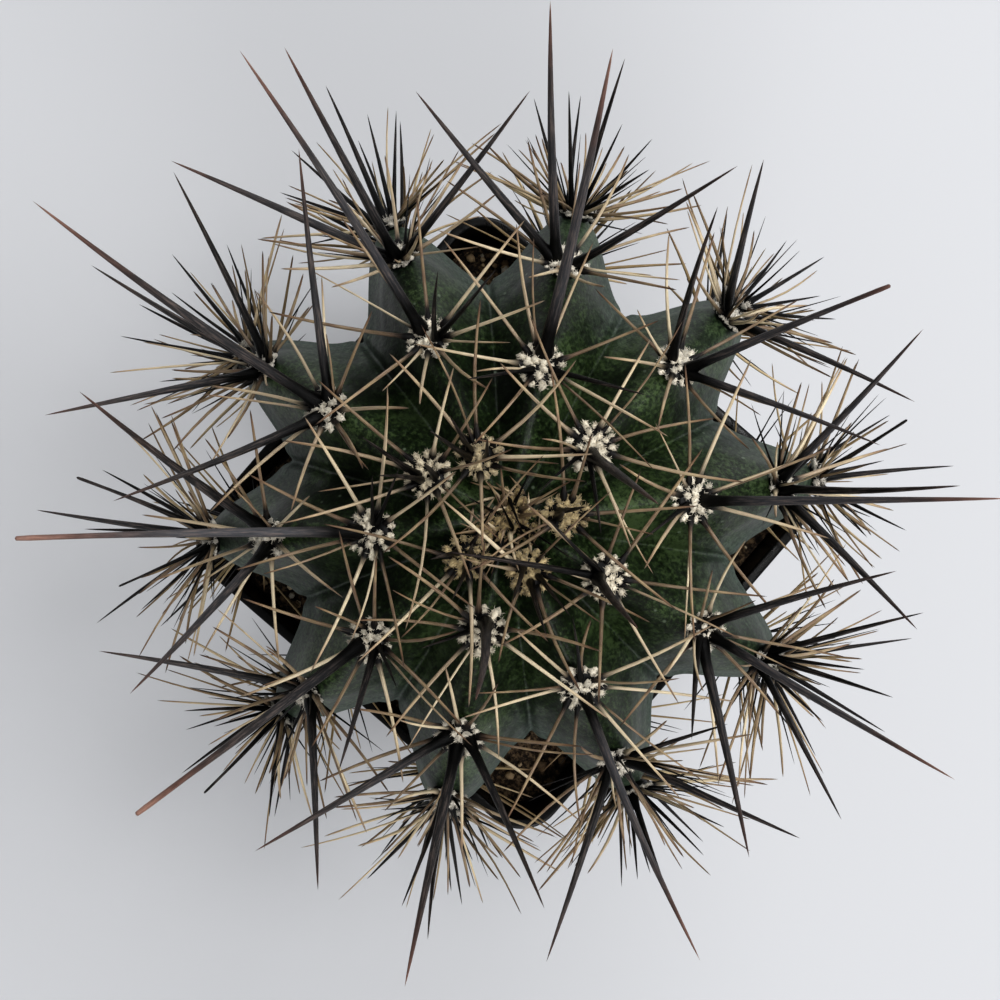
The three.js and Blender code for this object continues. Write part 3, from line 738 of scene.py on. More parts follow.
FINE_RADIUS = 0.5
FINE_SPREAD = 0.8 * RADIAL_SPREAD
CAD_CORNERS = np.array(cad_box) / MM
CAD_MARGIN = 1

BROKEN = True
CENTRAL_SPINES = {
    "1.2": [(-5, 40, 63), (-150, 50, 18)],
    "1.3": [(45, 45, 48), (-5, 50, 44), (-55, 45, 45)],
    "1.4": [(30, 50, 28, BROKEN), (0, -20, 31), (-35, 35, 22), (-60, 55, 22)],
    "2.1": [(-85, 75, 50), (180, 50, 18)],
    "2.2": [(35, 50, 40), (-20, 45, 50, BROKEN), (-65, 40, 46)],
    "2.3": [(40, 55, 44), (-70, 40, 45)],
    "2.4": [(-10, -30, 25), (10, -35, 22), (-30, -33, 21), (-45, -25, 22)],
    "3.1": [(0, 45, 69), (-95, 45, 25), (115, 55, 22)],
    "3.2": [(55, 35, 46), (15, 40, 55), (-50, 45, 45)],
    "3.3": [(15, 35, 26), (-5, 40, 36), (-15, 45, 24), (-50, 50, 22)],
    "4.2": [(10, 40, 69), (-30, 70, 30), (-70, 60, 30)],
    "4.3": [(5, 45, 54), (45, 35, 50), (-65, 40, 46)],
    "4.4": [(0, -15, 33), (-10, 5, 22), (-25, 5, 22), (25, -5, 24), (45, -25, 25)],
    "5.2": [(-5, 35, 69), (-55, 35, 52), (55, 35, 46)],
    "5.3": [(-35, 30, 42), (0, 30, 40), (45, 40, 48)],
    "5.4": [(5, -15, 25), (20, -5, 25), (-20, -10, 25)],
    "6.1": [(-5, 40, 71, BROKEN), (-120, 50, 18)],
    "6.2": [(45, 50, 50), (-45, 40, 50)],
    "6.3": [(-15, 40, 39), (-30, 35, 31, BROKEN), (20, 35, 22, BROKEN), (40, 40, 22)],
    "7.2": [(-5, 45, 62, BROKEN), (35, 60, 40), (80, 65, 20)],
    "7.3": [(55, 45, 45), (-55, 35, 43)],
    "7.4": [(5, 40, 25, BROKEN), (-45, 45, 23), (45, 45, 25), (-30, 45, 16)],
    "8.1": [(5, 78, 50), (-60, 50, 15)],
    "8.2": [(0, 45, 55), (40, 50, 46), (-50, 40, 49)],
    "8.3": [(5, 50, 36), (-10, 50, 30)],
    "8.4": [(20, -30, 25), (15, -35, 23), (-30, -30, 26), (35, -40, 17)],
    "9.2": [(0, 45, 63), (165, 55, 22)],
    "9.3": [(45, 35, 40), (-45, 40, 45), (90, 40, 26)],
    "9.4": [(45, 30, 20), (25, 45, 23), (-5, 45, 29), (-20, 40, 20)],
    "10.1": [(-25, 80, 48), (-160, 40, 35), (165, 50, 22)],
    "10.2": [(50, 45, 45), (0, 45, 62), (-50, 40, 48), (-70, 55, 30)],
    "10.3": [(-35, 45, 41), (15, 50, 34), (25, 45, 24), (-15, 50, 22), (50, 45, 39)],
}
LATE_SPINES = {
    "2.1": [(-146, 47, 21)],
    "6.1": [(-92, 54, 18)],
}

CROWN_TUFT_RADIUS = 2.6
CROWN_TUFT_OFFSET = 3.2
CROWN_TUFT_BEARINGS = np.array([112, 33, 246]) * RAD
CROWN_SPINES = 12
CROWN_SPINE_LENGTH = (8, 15)
CROWN_SPINE_RADIUS = 0.6
CROWN_SPINE_OFFSET = 2.4
CROWN_SPREAD = (18 * RAD, 62 * RAD)

POT_RIM_HALF = 50
POT_HEIGHT = 95
POT_WALL = 1.5

# %% The place of each areole


def areole_frame(rib, row):
    angle = AREOLE_ANGLES[rib][row]
    turn = FIRST_RIB + rib * RIB_STEP
    out = np.array([math.sin(angle) * math.cos(turn), math.sin(angle) * math.sin(turn), math.cos(angle)])
    across = np.array([-math.sin(turn), math.cos(turn), 0])
    return {
        "key": f"{rib + 1}.{row + 1}",
        "rib": rib,
        "row": row,
        "angle": angle,
        "at": stem_point(angle, turn),
        "flat_out": np.array([math.cos(turn), math.sin(turn), 0]),
        "out": out,
        "across": across,
        "crownward": np.cross(out, across),
        "size": PAD_YOUNG_SCALE + (1 - PAD_YOUNG_SCALE) * smooth(angle / PAD_GROWN_ANGLE),
        "age": angle / LAST_AREOLE,
    }


areoles = [areole_frame(rib, row) for rib in range(RIBS) for row in range(len(AREOLE_ANGLES[rib]))]
print("Areoles:", len(areoles))

# %% Finding a clear way
CLEAR_OF_SPINES = 0.45
CLEAR_OF_STEM = 0.5
CLEAR_OF_CUSHION = 0.5
CLEAR_OF_RIM = 2.5
CLEAR_OF_SOIL = 3
WAY_SHARES = np.arange(1, 13) / 12
CLEAR_FROM_SHARE = 0.2
TRIES = 60
TRY_TURN = 2.4 * RAD
TRY_SPIRAL = 2.4
LENGTH_SHARES = (1, 0.8, 0.6)

UP = np.array([0, 0, 1])
SIDEWAYS = np.array([1, 0, 0])

cushion_at = np.array([areole["at"] for areole in areoles] + [STEM_TOP])
cushion_reach = np.array([PAD_ALONG * areole["size"] for areole in areoles])
cushion_reach = np.append(cushion_reach, CROWN_TUFT_OFFSET + CROWN_TUFT_RADIUS) + CLEAR_OF_CUSHION
cushion_keys = np.array([areole["key"] for areole in areoles] + ["crown"])
grown = []


def girth_at(radius, broken, share):
    left = (1 - share) / (1 - SHOULDER)
    return radius * np.where(share < SHOULDER, 1, np.maximum(left, np.where(broken, BROKEN_TIP, 0.05)))


def gaps_to(spine, others):
    """The gap between one spine and each of the others, where they pass closest."""
    roots = np.array([other["root"] for other in others])
    ways = np.array([other["tip"] for other in others]) - roots
    radii = np.array([other["radius"] for other in others])
    ends = np.array([other["broken"] for other in others])
    way = spine["tip"] - spine["root"]
    apart = spine["root"] - roots
    aa, bb, ab = way @ way, (ways * ways).sum(1), ways @ way
    ar, br = apart @ way, (apart * ways).sum(1)
    flat = aa * bb - ab * ab
    s = np.where(flat > 1e-9, np.clip((ab * br - ar * bb) / np.maximum(flat, 1e-9), 0, 1), 0)
    t = (ab * s + br) / bb
    past = (t < 0) | (t > 1)
    t = np.clip(t, 0, 1)
    s = np.where(past, np.clip((ab * t - ar) / aa, 0, 1), s)
    nearest = np.linalg.norm(apart + s[:, None] * way - t[:, None] * ways, axis=1)
    return nearest - girth_at(spine["radius"], spine["broken"], s) - girth_at(radii, ends, t)


def is_clear(spine):
    way = spine["tip"] - spine["root"]
    points = spine["root"] + WAY_SHARES[:, None] * way
    over_skin = height_over_stem(points) < spine["radius"] + CLEAR_OF_STEM
    if np.any(over_skin & (WAY_SHARES > CLEAR_FROM_SHARE)):
        return False
    sideways = np.abs(points[:, :2]).max(axis=1)
    over_soil = sideways < POT_RIM_HALF - POT_WALL - CLEAR_OF_RIM
    over_rim = ~over_soil & (sideways < POT_RIM_HALF + CLEAR_OF_RIM)
    if np.any(over_rim & (points[:, 2] < POT_HEIGHT + CLEAR_OF_RIM)):
        return False
    if np.any(over_soil & (points[:, 2] < SOIL_LEVEL + CLEAR_OF_SOIL)):
        return False
    shares = np.clip((cushion_at - spine["root"]) @ way / (way @ way), 0, 1)
    reach = np.linalg.norm(spine["root"] + shares[:, None] * way - cushion_at, axis=1)
    if np.any((reach < cushion_reach + spine["radius"]) & (cushion_keys != spine["key"])):
        return False
    others = [other for other in grown if other["key"] != spine["key"]]
    return not others or gaps_to(spine, others).min() > CLEAR_OF_SPINES


def crosswise(way):
    first = np.cross(way, UP if abs(way[2]) < 0.9 else SIDEWAYS)
    first = first / np.linalg.norm(first)
    return first, np.cross(way, first)


def settle(wanted):
    """Bends a spine clear by the smallest turn, shortens it if there is none, and else leaves it out."""
    first, second = crosswise(wanted["way"])
    for share in LENGTH_SHARES:
        for k in range(TRIES):
            turn = math.tan(TRY_TURN * math.sqrt(k))
            spiral = TRY_SPIRAL * k
            bent = wanted["way"] + turn * (math.cos(spiral) * first + math.sin(spiral) * second)
            bent = bent / np.linalg.norm(bent)
            tip = wanted["root"] + bent * wanted["length"] * share
            spine = {**wanted, "way": bent, "tip": tip}
            if is_clear(spine):
                grown.append(spine)
                return


# %% Growing every spine


def grow_central(areole, values):
    side, lift, length = values[0] * RAD, values[1] * RAD, values[2]
    way = math.cos(side) * math.cos(lift) * areole["flat_out"]
    way = way + math.sin(side) * math.cos(lift) * areole["across"] + math.sin(lift) * UP
    spread = way - (way @ areole["out"]) * areole["out"]
    spread = spread / np.linalg.norm(spread)
    settle({
        "key": areole["key"],
        "root": areole["at"] + PAD_LIFT * areole["out"] + CENTRAL_SPREAD * spread,
        "way": way,
        "length": length,
        "radius": min(CENTRAL_SLIMMEST + GIRTH_PER_LENGTH * length, CENTRAL_STOUTEST),
        "broken": len(values) > 3,
        "dark": True,
        "age": areole["age"],
    })


def grow_fan(areole):
    seed = areole["rib"] * 97 + areole["row"] * 11
    count = FAN_COUNT if areole["row"] < LOWEST_ROW else FAN_LAST_COUNT
    for i in range(count):
        side = FAN_HALF_SPREAD * ((2 * i + 0.4 + 1.2 * fraction(seed + i)) / count - 1)
        lift = 90 - areole["angle"] / RAD + between(FAN_LIFT, seed + 20 + i)
        grow_central(areole, (side, lift, between(FAN_LENGTH, seed + 40 + i)))


def radial_count(areole):
    if areole["angle"] < 12 * RAD:
        return 7
    if areole["angle"] < 75 * RAD:
        return 8
    return 6 if areole["row"] < LOWEST_ROW else 4


def grow_radials(areole):
    count = radial_count(areole)
    for i in range(count):
        seed = areole["rib"] * 131 + areole["row"] * 17 + i
        clock = (i + 0.25 + 0.5 * fraction(seed)) * 2 * math.pi / count
        lift = between(RADIAL_LIFT, seed + 300)
        flat = math.cos(clock) * areole["crownward"] + math.sin(clock) * areole["across"]
        settle({
            "key": areole["key"],
            "root": areole["at"] + PAD_LIFT * areole["out"] + RADIAL_SPREAD * areole["size"] * flat,
            "way": math.cos(lift) * flat + math.sin(lift) * areole["out"],
            "length": between(RADIAL_LENGTH, seed + 700),
            "radius": RADIAL_RADIUS,
            "broken": False,
            "dark": False,
            "age": areole["age"],
        })


def grow_crown():
    for i in range(CROWN_SPINES):
        turn = i * GOLDEN_ANGLE
        lean = between(CROWN_SPREAD, i + 500)
        flat_out = np.array([math.cos(turn), math.sin(turn), 0])
        settle({
            "key": "crown",
            "root": STEM_TOP + CROWN_SPINE_OFFSET * flat_out + PAD_LIFT * UP,
            "way": math.sin(lean) * flat_out + math.cos(lean) * UP,
            "length": between(CROWN_SPINE_LENGTH, i + 540),
            "radius": CROWN_SPINE_RADIUS,
            "broken": False,
            "dark": i % 2 == 0,
            "age": 0,
        })


def inside_cad(tip):
    return np.all(tip > CAD_CORNERS[0] + CAD_MARGIN) and np.all(tip < CAD_CORNERS[1] - CAD_MARGIN)


def grow_fine(areole):
    """The rest, too many for the CAD model: slim straw spines, and on the flanks short dark ones."""
    grown_up = areole["angle"] > FINE_FROM
    for i in range(FINE_ON_FLANK if grown_up else FINE_ON_TOP):
        seed = areole["rib"] * 151 + areole["row"] * 23 + i + 2000
        clock = (i + 0.5 * fraction(seed)) * GOLDEN_ANGLE
        lift = between(FINE_LIFT, seed + 300)
        dark = grown_up and i % FINE_DARK_EVERY == 0
        flat = math.cos(clock) * areole["crownward"] + math.sin(clock) * areole["across"]
        settle({
            "key": areole["key"],
            "root": areole["at"] + PAD_LIFT * areole["out"] + FINE_SPREAD * areole["size"] * flat,
            "way": math.cos(lift) * flat + math.sin(lift) * areole["out"],
            "length": between(FINE_DARK_LENGTH if dark else FINE_LENGTH, seed + 700),
            "radius": FINE_RADIUS,
            "broken": False,
            "dark": dark,
            "age": areole["age"],
        })
        if not inside_cad(grown[-1]["tip"]) and grown[-1]["radius"] == FINE_RADIUS:
            grown.pop()


for areole in areoles:
    for values in CENTRAL_SPINES.get(areole["key"], []):
        grow_central(areole, values)
for areole in areoles:
    if areole["key"] not in CENTRAL_SPINES:
        grow_fan(areole)
grow_crown()
for areole in areoles:
    grow_radials(areole)
for areole in areoles:
    for values in LATE_SPINES.get(areole["key"], []):
        grow_central(areole, values)
for areole in areoles:
    grow_fine(areole)
print("Spines:", len(grown), "of them dark:", sum(spine["dark"] for spine in grown))

# %% [markdown]
# ## Spines, one by one
# A spine is a round taper on a bulb, with a slight bow. It could be a curve with a bevel, but a tube of
# rings gives control over the bulb, the taper and the worn tip, and lets each point remember how far along
# it lies. Many tubes are collected into one batch for each rib, because hundreds of separate objects would
# be slow to handle.

# %% Batches of small shapes
CHARCOAL, STRAW, WOOL = 0, 1, 2


class Batch:
    """Points and faces of many small shapes, kept together until they become one piece."""

    def __init__(self):
        self.points = []
        self.faces = []
        self.slots = []
        self.numbers = {"along": [], "tone": [], "age": [], "flow": []}
        self.size = 0

    def add(self, points, faces, slot, **numbers):
        self.points.append(points)
        self.faces.extend(tuple(i + self.size for i in face) for face in faces)
        self.slots.extend([slot] * len(faces))
        for key, kept in self.numbers.items():
            shape = (len(points), 3) if key == "flow" else (len(points),)
            kept.append(np.broadcast_to(numbers.get(key, 0.0), shape))
        self.size += len(points)

    def piece(self, name, materials):
        numbers = {key: np.concatenate(kept) for key, kept in self.numbers.items()}
        return make_piece(name, np.concatenate(self.points), self.faces, materials, self.slots, numbers)


def add_tube(batch, slot, middles, radii, sides, root, tip, along, reach=1, **numbers):
    """A closed tube through the middles, whose colours run as far as reach, a share of the longest one's.

    The cross directions stay those of the whole way, as bows are slight."""
    way = tip - root
    length = np.linalg.norm(way)
    first, second = crosswise(way / length)
    turns = np.arange(sides) * 2 * math.pi / sides
    round_it = np.cos(turns)[:, None] * first + np.sin(turns)[:, None] * second
    rings = middles[:, None, :] + radii[:, None, None] * round_it
    points = np.concatenate([rings.reshape(-1, 3), [root], [tip]])
    shares = np.concatenate([np.repeat(along, sides), [0], [1]])
    around = np.concatenate([np.tile(np.minimum(turns, 2 * math.pi - turns), len(middles)), [0, 0]])
    seed = numbers["tone"] * 50
    flow = np.stack([around * radii.mean(), shares * length, np.full(len(points), seed)], -1) * MM
    batch.add(points, closed_faces(len(middles), sides), slot, along=shares * reach, flow=flow, **numbers)


# %% One spine
ROOT_DEPTH = 1.6
DARK_TAPER = 0.6  # the power of the taper: the lower, the later a spine thins
STRAW_TAPER = 0.3
WORN_TIP = 0.42  # the thinnest that a broken spine gets, against its girth
DARK_BOW = (0.002, 0.016)  # how far it bows, against its length
STRAW_BOW = (0.004, 0.045)
DARK_SIDES = 10
STRAW_SIDES = 8
# A bulb is its middle in mm from the root's end, half its length in mm, and how much it swells.
DARK_BULB = (2.9, 1.7, 0.5)
STRAW_BULB = (2.5, 1.15, 1.0)
CENTRAL_SHARES = np.array([0, 0.02, 0.045, 0.08, 0.13, 0.2, 0.3, 0.42, 0.55, 0.68, 0.8, 0.9, 0.96])
RADIAL_SHARES = np.array([0, 0.05, 0.08, 0.11, 0.15, 0.21, 0.38, 0.56, 0.74, 0.88, 0.96])
DARK_GIRTH = (0.43, 0.0046)  # the shaft against the plain solid's, and how much more for each mm of length
STRAW_GIRTH = 0.52
GIRTH_SPREAD = (0.88, 1.12)
LONGEST_DARK = 60  # mm; the shorter a dark spine is, the blacker it stays to its tip
DARK_TONE = (0.6, 1)  # how far the longest ones fade to slate grey


def add_spine(batch, spine, number):
    dark = spine["dark"]
    shares = CENTRAL_SHARES if dark else RADIAL_SHARES
    tip = spine["tip"]
    root = spine["root"] - ROOT_DEPTH * spine["way"]
    length = np.linalg.norm(tip - root)
    share = DARK_GIRTH[0] + DARK_GIRTH[1] * length if dark else STRAW_GIRTH
    girth = spine["radius"] * share * between(GIRTH_SPREAD, number + 3000)
    taper = np.maximum(1 - shares, 0) ** (DARK_TAPER if dark else STRAW_TAPER)
    if spine["broken"]:
        taper = np.maximum(taper, WORN_TIP)
    bulb_at, bulb_length, swelling = DARK_BULB if dark else STRAW_BULB
    bulb = 1 + swelling * np.exp(-(((shares * length - bulb_at) / bulb_length) ** 2))
    worn = np.array([1 + 0.05 * (fraction(number * 31 + i) - 0.5) for i in range(len(shares))])
    radii = girth * taper * bulb * worn
    first, second = crosswise(spine["way"])
    turn = 2 * math.pi * fraction(number + 4000)
    bow = length * between(DARK_BOW if dark else STRAW_BOW, number + 5000)
    sideways = (math.cos(turn) * first + math.sin(turn) * second) * bow
    middles = root + shares[:, None] * (tip - root) + np.sin(math.pi * shares)[:, None] * sideways
    if spine["broken"]:
        middles = np.concatenate([middles, [tip - 0.3 * spine["way"]]])
        radii = np.append(radii, girth * 0.34)
        shares = np.append(shares, 0.995)
    sides = DARK_SIDES if dark else STRAW_SIDES
    slot = CHARCOAL if dark else STRAW
    reach = min(length / LONGEST_DARK, 1) if dark else 1
    tone = reach * between(DARK_TONE, number + 6000) if dark else fraction(number + 6000)
    numbers = {"tone": tone, "age": spine["age"]}
    add_tube(batch, slot, middles, radii, sides, root, tip, shares, reach, **numbers)


# %% [markdown]
# ## Felt cushions
# Close up, an areole isn't a smooth pad. It is a ring of small matted tufts pushed apart by the spines'
# roots, with ragged edges where single hairs stick out, and shade between them. So each cushion gets a low
# near-black core, painted shade that also stands for the dark skin and spine bases between the tufts, then
# tufts in the gaps between the roots all round its edge, and a spiral of them inside. Each is a ragged ball
# with a fringe of curved hairs, drawn darker low down and at the hairs' roots as painted shade. Hair systems
# would be lost on export, so every hair is a thin closed tube.

# %% Tufts and hairs
EDGE_TUFT_STEP = 0.5  # the most bearing, in radians, that one tuft of the edge fills
EDGE_TUFT_WIDTH = (0.3, 0.95)  # mm from its middle to its side
INNER_TUFTS = 11
INNER_TUFT_WIDTH = 0.85
TUFT_STRETCH = 1.25
TUFT_RAGGED = (0.55, 1.3)  # how far its points lie from the middle, against an even ball's
SHADE_CORE_SHARE = 0.8  # the near-black core, painted shade between the tufts, against the whole cushion
SHADE_CORE_HIGH = 0.58
HAIRS_PER_TUFT = 17
HAIR_LENGTH = (0.5, 1.3)
HAIR_RADIUS = 0.09  # real plant hair is four times finer, and is drawn as coarse as it needs to show
HAIR_SHARES = np.array([0, 0.6])


def ball(rings, sides):
    """A round ball of rings with a point at each end, bottom first."""
    polar = np.arange(1, rings + 1) * math.pi / (rings + 1)
    turns = np.arange(sides) * 2 * math.pi / sides
    points = [
        (math.sin(p) * math.cos(t), math.sin(p) * math.sin(t), -math.cos(p)) for p in polar for t in turns
    ]
    return np.array(points + [(0, 0, -1), (0, 0, 1)]), closed_faces(rings, sides)


BALL_POINTS, BALL_FACES = ball(5, 9)
SHADE_CORE_POINTS, SHADE_CORE_FACES = ball(9, 18)


def add_hair(batch, root, way, length, number, age):
    first, second = crosswise(way)
    turn = 2 * math.pi * fraction(number)
    curl = (math.cos(turn) * first + math.sin(turn) * second) * length * 0.35
    tip = root + way * length + curl
    middles = root + HAIR_SHARES[:, None] * length * way + (HAIR_SHARES**2)[:, None] * curl
    radii = HAIR_RADIUS * (1 - 0.5 * HAIR_SHARES)
    numbers = {"tone": fraction(number + 1), "age": age}
    # Painted shade: a hair's along starts low at its root, so the wool is drawn darker there.
    add_tube(batch, WOOL, middles, radii, 3, root, tip, 0.55 + 0.45 * HAIR_SHARES, **numbers)


def add_tuft(batch, at, out, outward, radius, number, age):
    """A ragged lump drawn out towards the cushion's edge, with a short fringe of hairs."""
    side = np.cross(out, outward)
    axes = np.array([outward, side, out])
    lumps = np.array([between(TUFT_RAGGED, number * 13 + i) for i in range(len(BALL_POINTS))])
    shape = BALL_POINTS * lumps[:, None] * radius * np.array([TUFT_STRETCH, 0.95, 0.75])
    # Painted shade: along is low on the tuft's underside and high on its top, so the wool is drawn darker
    # underneath.
    along = 0.2 + 0.8 * (BALL_POINTS[:, 2] + 1) / 2
    batch.add(at + shape @ axes, BALL_FACES, WOOL, along=along, tone=fraction(number + 77), age=age)
    for i in range(HAIRS_PER_TUFT):
        turn = i * GOLDEN_ANGLE + number
        tilt = 0.2 + 1.3 * math.sqrt((i + 0.5) / HAIRS_PER_TUFT)
        way = math.cos(tilt) * out + math.sin(tilt) * (math.cos(turn) * outward + math.sin(turn) * side)
        way = way + 0.5 * outward
        way = way / np.linalg.norm(way)
        root = at + 0.65 * radius * way
        add_hair(batch, root, way, between(HAIR_LENGTH, number * 7 + i) * radius, number * 19 + i, age)


def edge_bearings(roots, areole):
    """Where tufts fit at the cushion's edge, between the roots, each with the half width that it fills."""
    offsets = roots - areole["at"]
    bearings = np.arctan2(offsets @ areole["crownward"] / PAD_ALONG, offsets @ areole["across"] / PAD_ACROSS)
    bearings = np.sort(bearings) if len(bearings) else np.array([0.0])
    steps = np.diff(np.append(bearings, bearings[0] + 2 * math.pi))
    fitted = []
    for bearing, step in zip(bearings, steps):
        count = max(1, round(step / EDGE_TUFT_STEP))
        for j in range(count):
            fitted.append((bearing + step * (j + 0.5) / count, step / count / 2))
    return fitted


def add_cushion(batch, areole, roots):
    """A near-black core as painted shade between the tufts, with tufts in the gaps between the spines' roots,
    all round its edge and inside.
    """
    at, out, across, crownward = (areole[key] for key in ("at", "out", "across", "crownward"))
    size, age = areole["size"], areole["age"]
    seed = 1000 + areole["rib"] * 61 + areole["row"] * 7
    lumps = np.array([1 + 0.12 * (fraction(seed * 3 + i) - 0.5) for i in range(len(SHADE_CORE_POINTS))])
    shade_core_high = SHADE_CORE_HIGH * PAD_HIGH * size
    shade_core_size = np.array([SHADE_CORE_SHARE * PAD_ACROSS * size, SHADE_CORE_SHARE * PAD_ALONG * size, shade_core_high])
    shade_core = SHADE_CORE_POINTS * lumps[:, None] * shade_core_size
    # Painted shade: a near-black lump in the charcoal spine material. It shows as the shade between the tufts
    # and also stands in for the dark skin and spine bases there.
    batch.add(at + shade_core @ np.array([across, crownward, out]), SHADE_CORE_FACES, CHARCOAL, tone=0.1, age=age)

    def place_tuft(ring, turn, widest, number):
        x = PAD_ACROSS * size * ring * math.cos(turn)
        y = PAD_ALONG * size * ring * math.sin(turn)
        dome = shade_core_high * math.sqrt(max(1 - (ring / SHADE_CORE_SHARE) ** 2, 0.1))
        place = at + across * x + crownward * y + out * dome
        gap = np.linalg.norm(roots - place, axis=1).min() if len(roots) else widest
        radius = min(widest, gap * 0.72) * between((0.75, 1.1), number)
        if radius > EDGE_TUFT_WIDTH[0]:
            outward = (across * x + crownward * y) / math.hypot(x, y)
            add_tuft(batch, place, out, outward, radius, number, age)

    for k, (turn, half) in enumerate(edge_bearings(roots, areole)):
        widest = min(max(0.9 * half * PAD_ACROSS * size, EDGE_TUFT_WIDTH[0] + 0.1), EDGE_TUFT_WIDTH[1])
        place_tuft(between((0.8, 0.92), seed + k + 40), turn, widest, seed * 5 + k)
    for k in range(INNER_TUFTS):
        ring = 0.62 * math.sqrt((k + 0.4) / INNER_TUFTS)
        place_tuft(ring, k * GOLDEN_ANGLE + seed, INNER_TUFT_WIDTH, seed * 5 + 60 + k)


# %% Cushions and spines of each rib
for rib in range(RIBS):
    batch = Batch()
    mine = [areole for areole in areoles if areole["rib"] == rib]
    for areole in mine:
        own = [(i, spine) for i, spine in enumerate(grown) if spine["key"] == areole["key"]]
        roots = np.array([spine["root"] + 0.8 * spine["way"] for _, spine in own])
        add_cushion(batch, areole, roots)
        for i, spine in own:
            add_spine(batch, spine, i)
    name = f"areoles_{rib + 1:02d}"
    piece = batch.piece(name, [charcoal_spine, straw_spine, matted_wool])
    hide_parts(*(f"areole_{rib + 1:02d}_{areole['row'] + 1}" for areole in mine))
    print(name, "faces:", len(piece.data.polygons))

# %% [markdown]
# The crown is where new areoles are born. Their wool hasn't been pushed apart yet, so it is a loose tan mat in
# three patches, with short new spines, fine bristles and a few black spines standing in it. The bristles and
# three of the black ones are placed as they are, without the search for a clear way.

# %% Crown
CROWN_PATCH_TUFTS = 11
CROWN_PATCH_REACH = 2.8
CROWN_DARK = [  # reach and bearing of the root, heading, lift and length of the black ones that show
    (1.9, 345, 157, 50, 11),
    (4.0, 125, 332, 50, 10),
    (6.2, 248, 100, 50, 10),
]
CROWN_BRISTLES = 40
CROWN_BRISTLE_REACH = 6.5
CROWN_BRISTLE_LENGTH = (2.5, 6)
CROWN_BRISTLE_LIFT = (8 * RAD, 40 * RAD)
CROWN_BRISTLE_RADIUS = 0.34


def make_crown():
    batch = Batch()
    for k, bearing in enumerate(CROWN_TUFT_BEARINGS):
        side = np.array([math.cos(bearing), math.sin(bearing), 0])
        for i in range(CROWN_PATCH_TUFTS):
            turn = i * GOLDEN_ANGLE + k
            flat_out = np.array([math.cos(turn), math.sin(turn), 0])
            nudge = CROWN_PATCH_REACH * math.sqrt(i / CROWN_PATCH_TUFTS) * flat_out
            place = STEM_TOP + side * CROWN_TUFT_OFFSET + nudge + UP * 0.8
            number = 9000 + k * 40 + i
            add_tuft(batch, place, UP, flat_out, between((0.5, 0.95), number), number, 0.05)
    for i, spine in enumerate(grown):
        if spine["key"] == "crown":
            add_spine(batch, spine, i)

    def add_bristle(reach, turn, heading, lift, length, dark, number):
        root = STEM_TOP + reach * np.array([math.cos(turn), math.sin(turn), 0]) + 0.6 * UP
        flat = math.cos(lift)
        way = np.array([math.cos(heading) * flat, math.sin(heading) * flat, math.sin(lift)])
        radius = CROWN_SPINE_RADIUS if dark else CROWN_BRISTLE_RADIUS
        bristle = {"root": root, "way": way, "tip": root + way * length, "radius": radius}
        add_spine(batch, {**bristle, "broken": False, "dark": dark, "age": 0}, number)

    for i, (reach, turn, heading, lift, length) in enumerate(CROWN_DARK):
        add_bristle(reach, turn * RAD, heading * RAD, lift * RAD, length, True, 6900 + i)
    for i in range(CROWN_BRISTLES):
        turn = i * GOLDEN_ANGLE + 0.4
        reach = CROWN_BRISTLE_REACH * math.sqrt((i + 0.5) / CROWN_BRISTLES)
        heading = turn + 4.4 * (fraction(i + 620) - 0.5)
        lift = between(CROWN_BRISTLE_LIFT, i + 640)
        length = between(CROWN_BRISTLE_LENGTH, i + 660)
        add_bristle(reach, turn, heading, lift, length, False, 7000 + i)
    return batch.piece("crown_wool", [charcoal_spine, straw_spine, matted_wool])


crown = make_crown()
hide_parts("crown")

# %% [markdown]
# ## The pot
# A nursery pot is one thin moulding: a square with round corners that leans in to its base, a collar that
# stiffens the top and lets pots stack, and a small rolled lip. The section is swept round the square. Four
# holes are then cut through the floor to let water out.

# %% Pot
BASE_HALF = 35
FLOOR = 2
FOOT_ROUND = 1.3
COLLAR_FOOT = 77
COLLAR_STEP = 2.2
COLLAR_RISE = 1.6
LIP = 0.8
LIP_HIGH = 1.8
LIP_ROUND = 0.6
CORNER_SHARE = 0.19
CORNER_POINTS = 14
SIDE_POINTS = 10
DRAIN_RADIUS = 5
DRAIN_OFFSET = 19


def pot_half(height):
    foot = POT_RIM_HALF - LIP - COLLAR_STEP
    wall = BASE_HALF + (foot - BASE_HALF) * (height / POT_HEIGHT)
    return wall + COLLAR_STEP if height > COLLAR_FOOT else wall


def square_ring(half, height, inset=0):
    """A square with round corners, its sides split too, so that its faces stay small."""
    corner = max(half * CORNER_SHARE - inset, 1)
    reach = half - corner
    ring = []
    for side in range(4):
        turn = (side + 0.5) * math.pi / 2
        middle = np.array([math.cos(turn), math.sin(turn)]) * reach * math.sqrt(2)
        for i in range(CORNER_POINTS):
            angle = turn + (i / (CORNER_POINTS - 1) - 0.5) * math.pi / 2
            ring.append(middle + corner * np.array([math.cos(angle), math.sin(angle)]))
        following = (side + 1.5) * math.pi / 2
        start = ring[-1]
        corner_ahead = np.array([math.cos(following), math.sin(following)]) * reach * math.sqrt(2)
        meets = following - math.pi / 4
        end = corner_ahead + corner * np.array([math.cos(meets), math.sin(meets)])
        for i in range(1, SIDE_POINTS):
            ring.append(start + (end - start) * i / SIDE_POINTS)
    return np.array([(x, y, height) for x, y in ring])


def rounded(start, end, bulge, steps=5):
    """Points of a quarter round from start to end of the section, leaning towards the bulge corner."""
    shares = np.linspace(0, 1, steps)
    start, end, bulge = np.array(start), np.array(end), np.array(bulge)
    return [tuple((1 - t) ** 2 * start + 2 * t * (1 - t) * bulge + t * t * end) for t in shares]


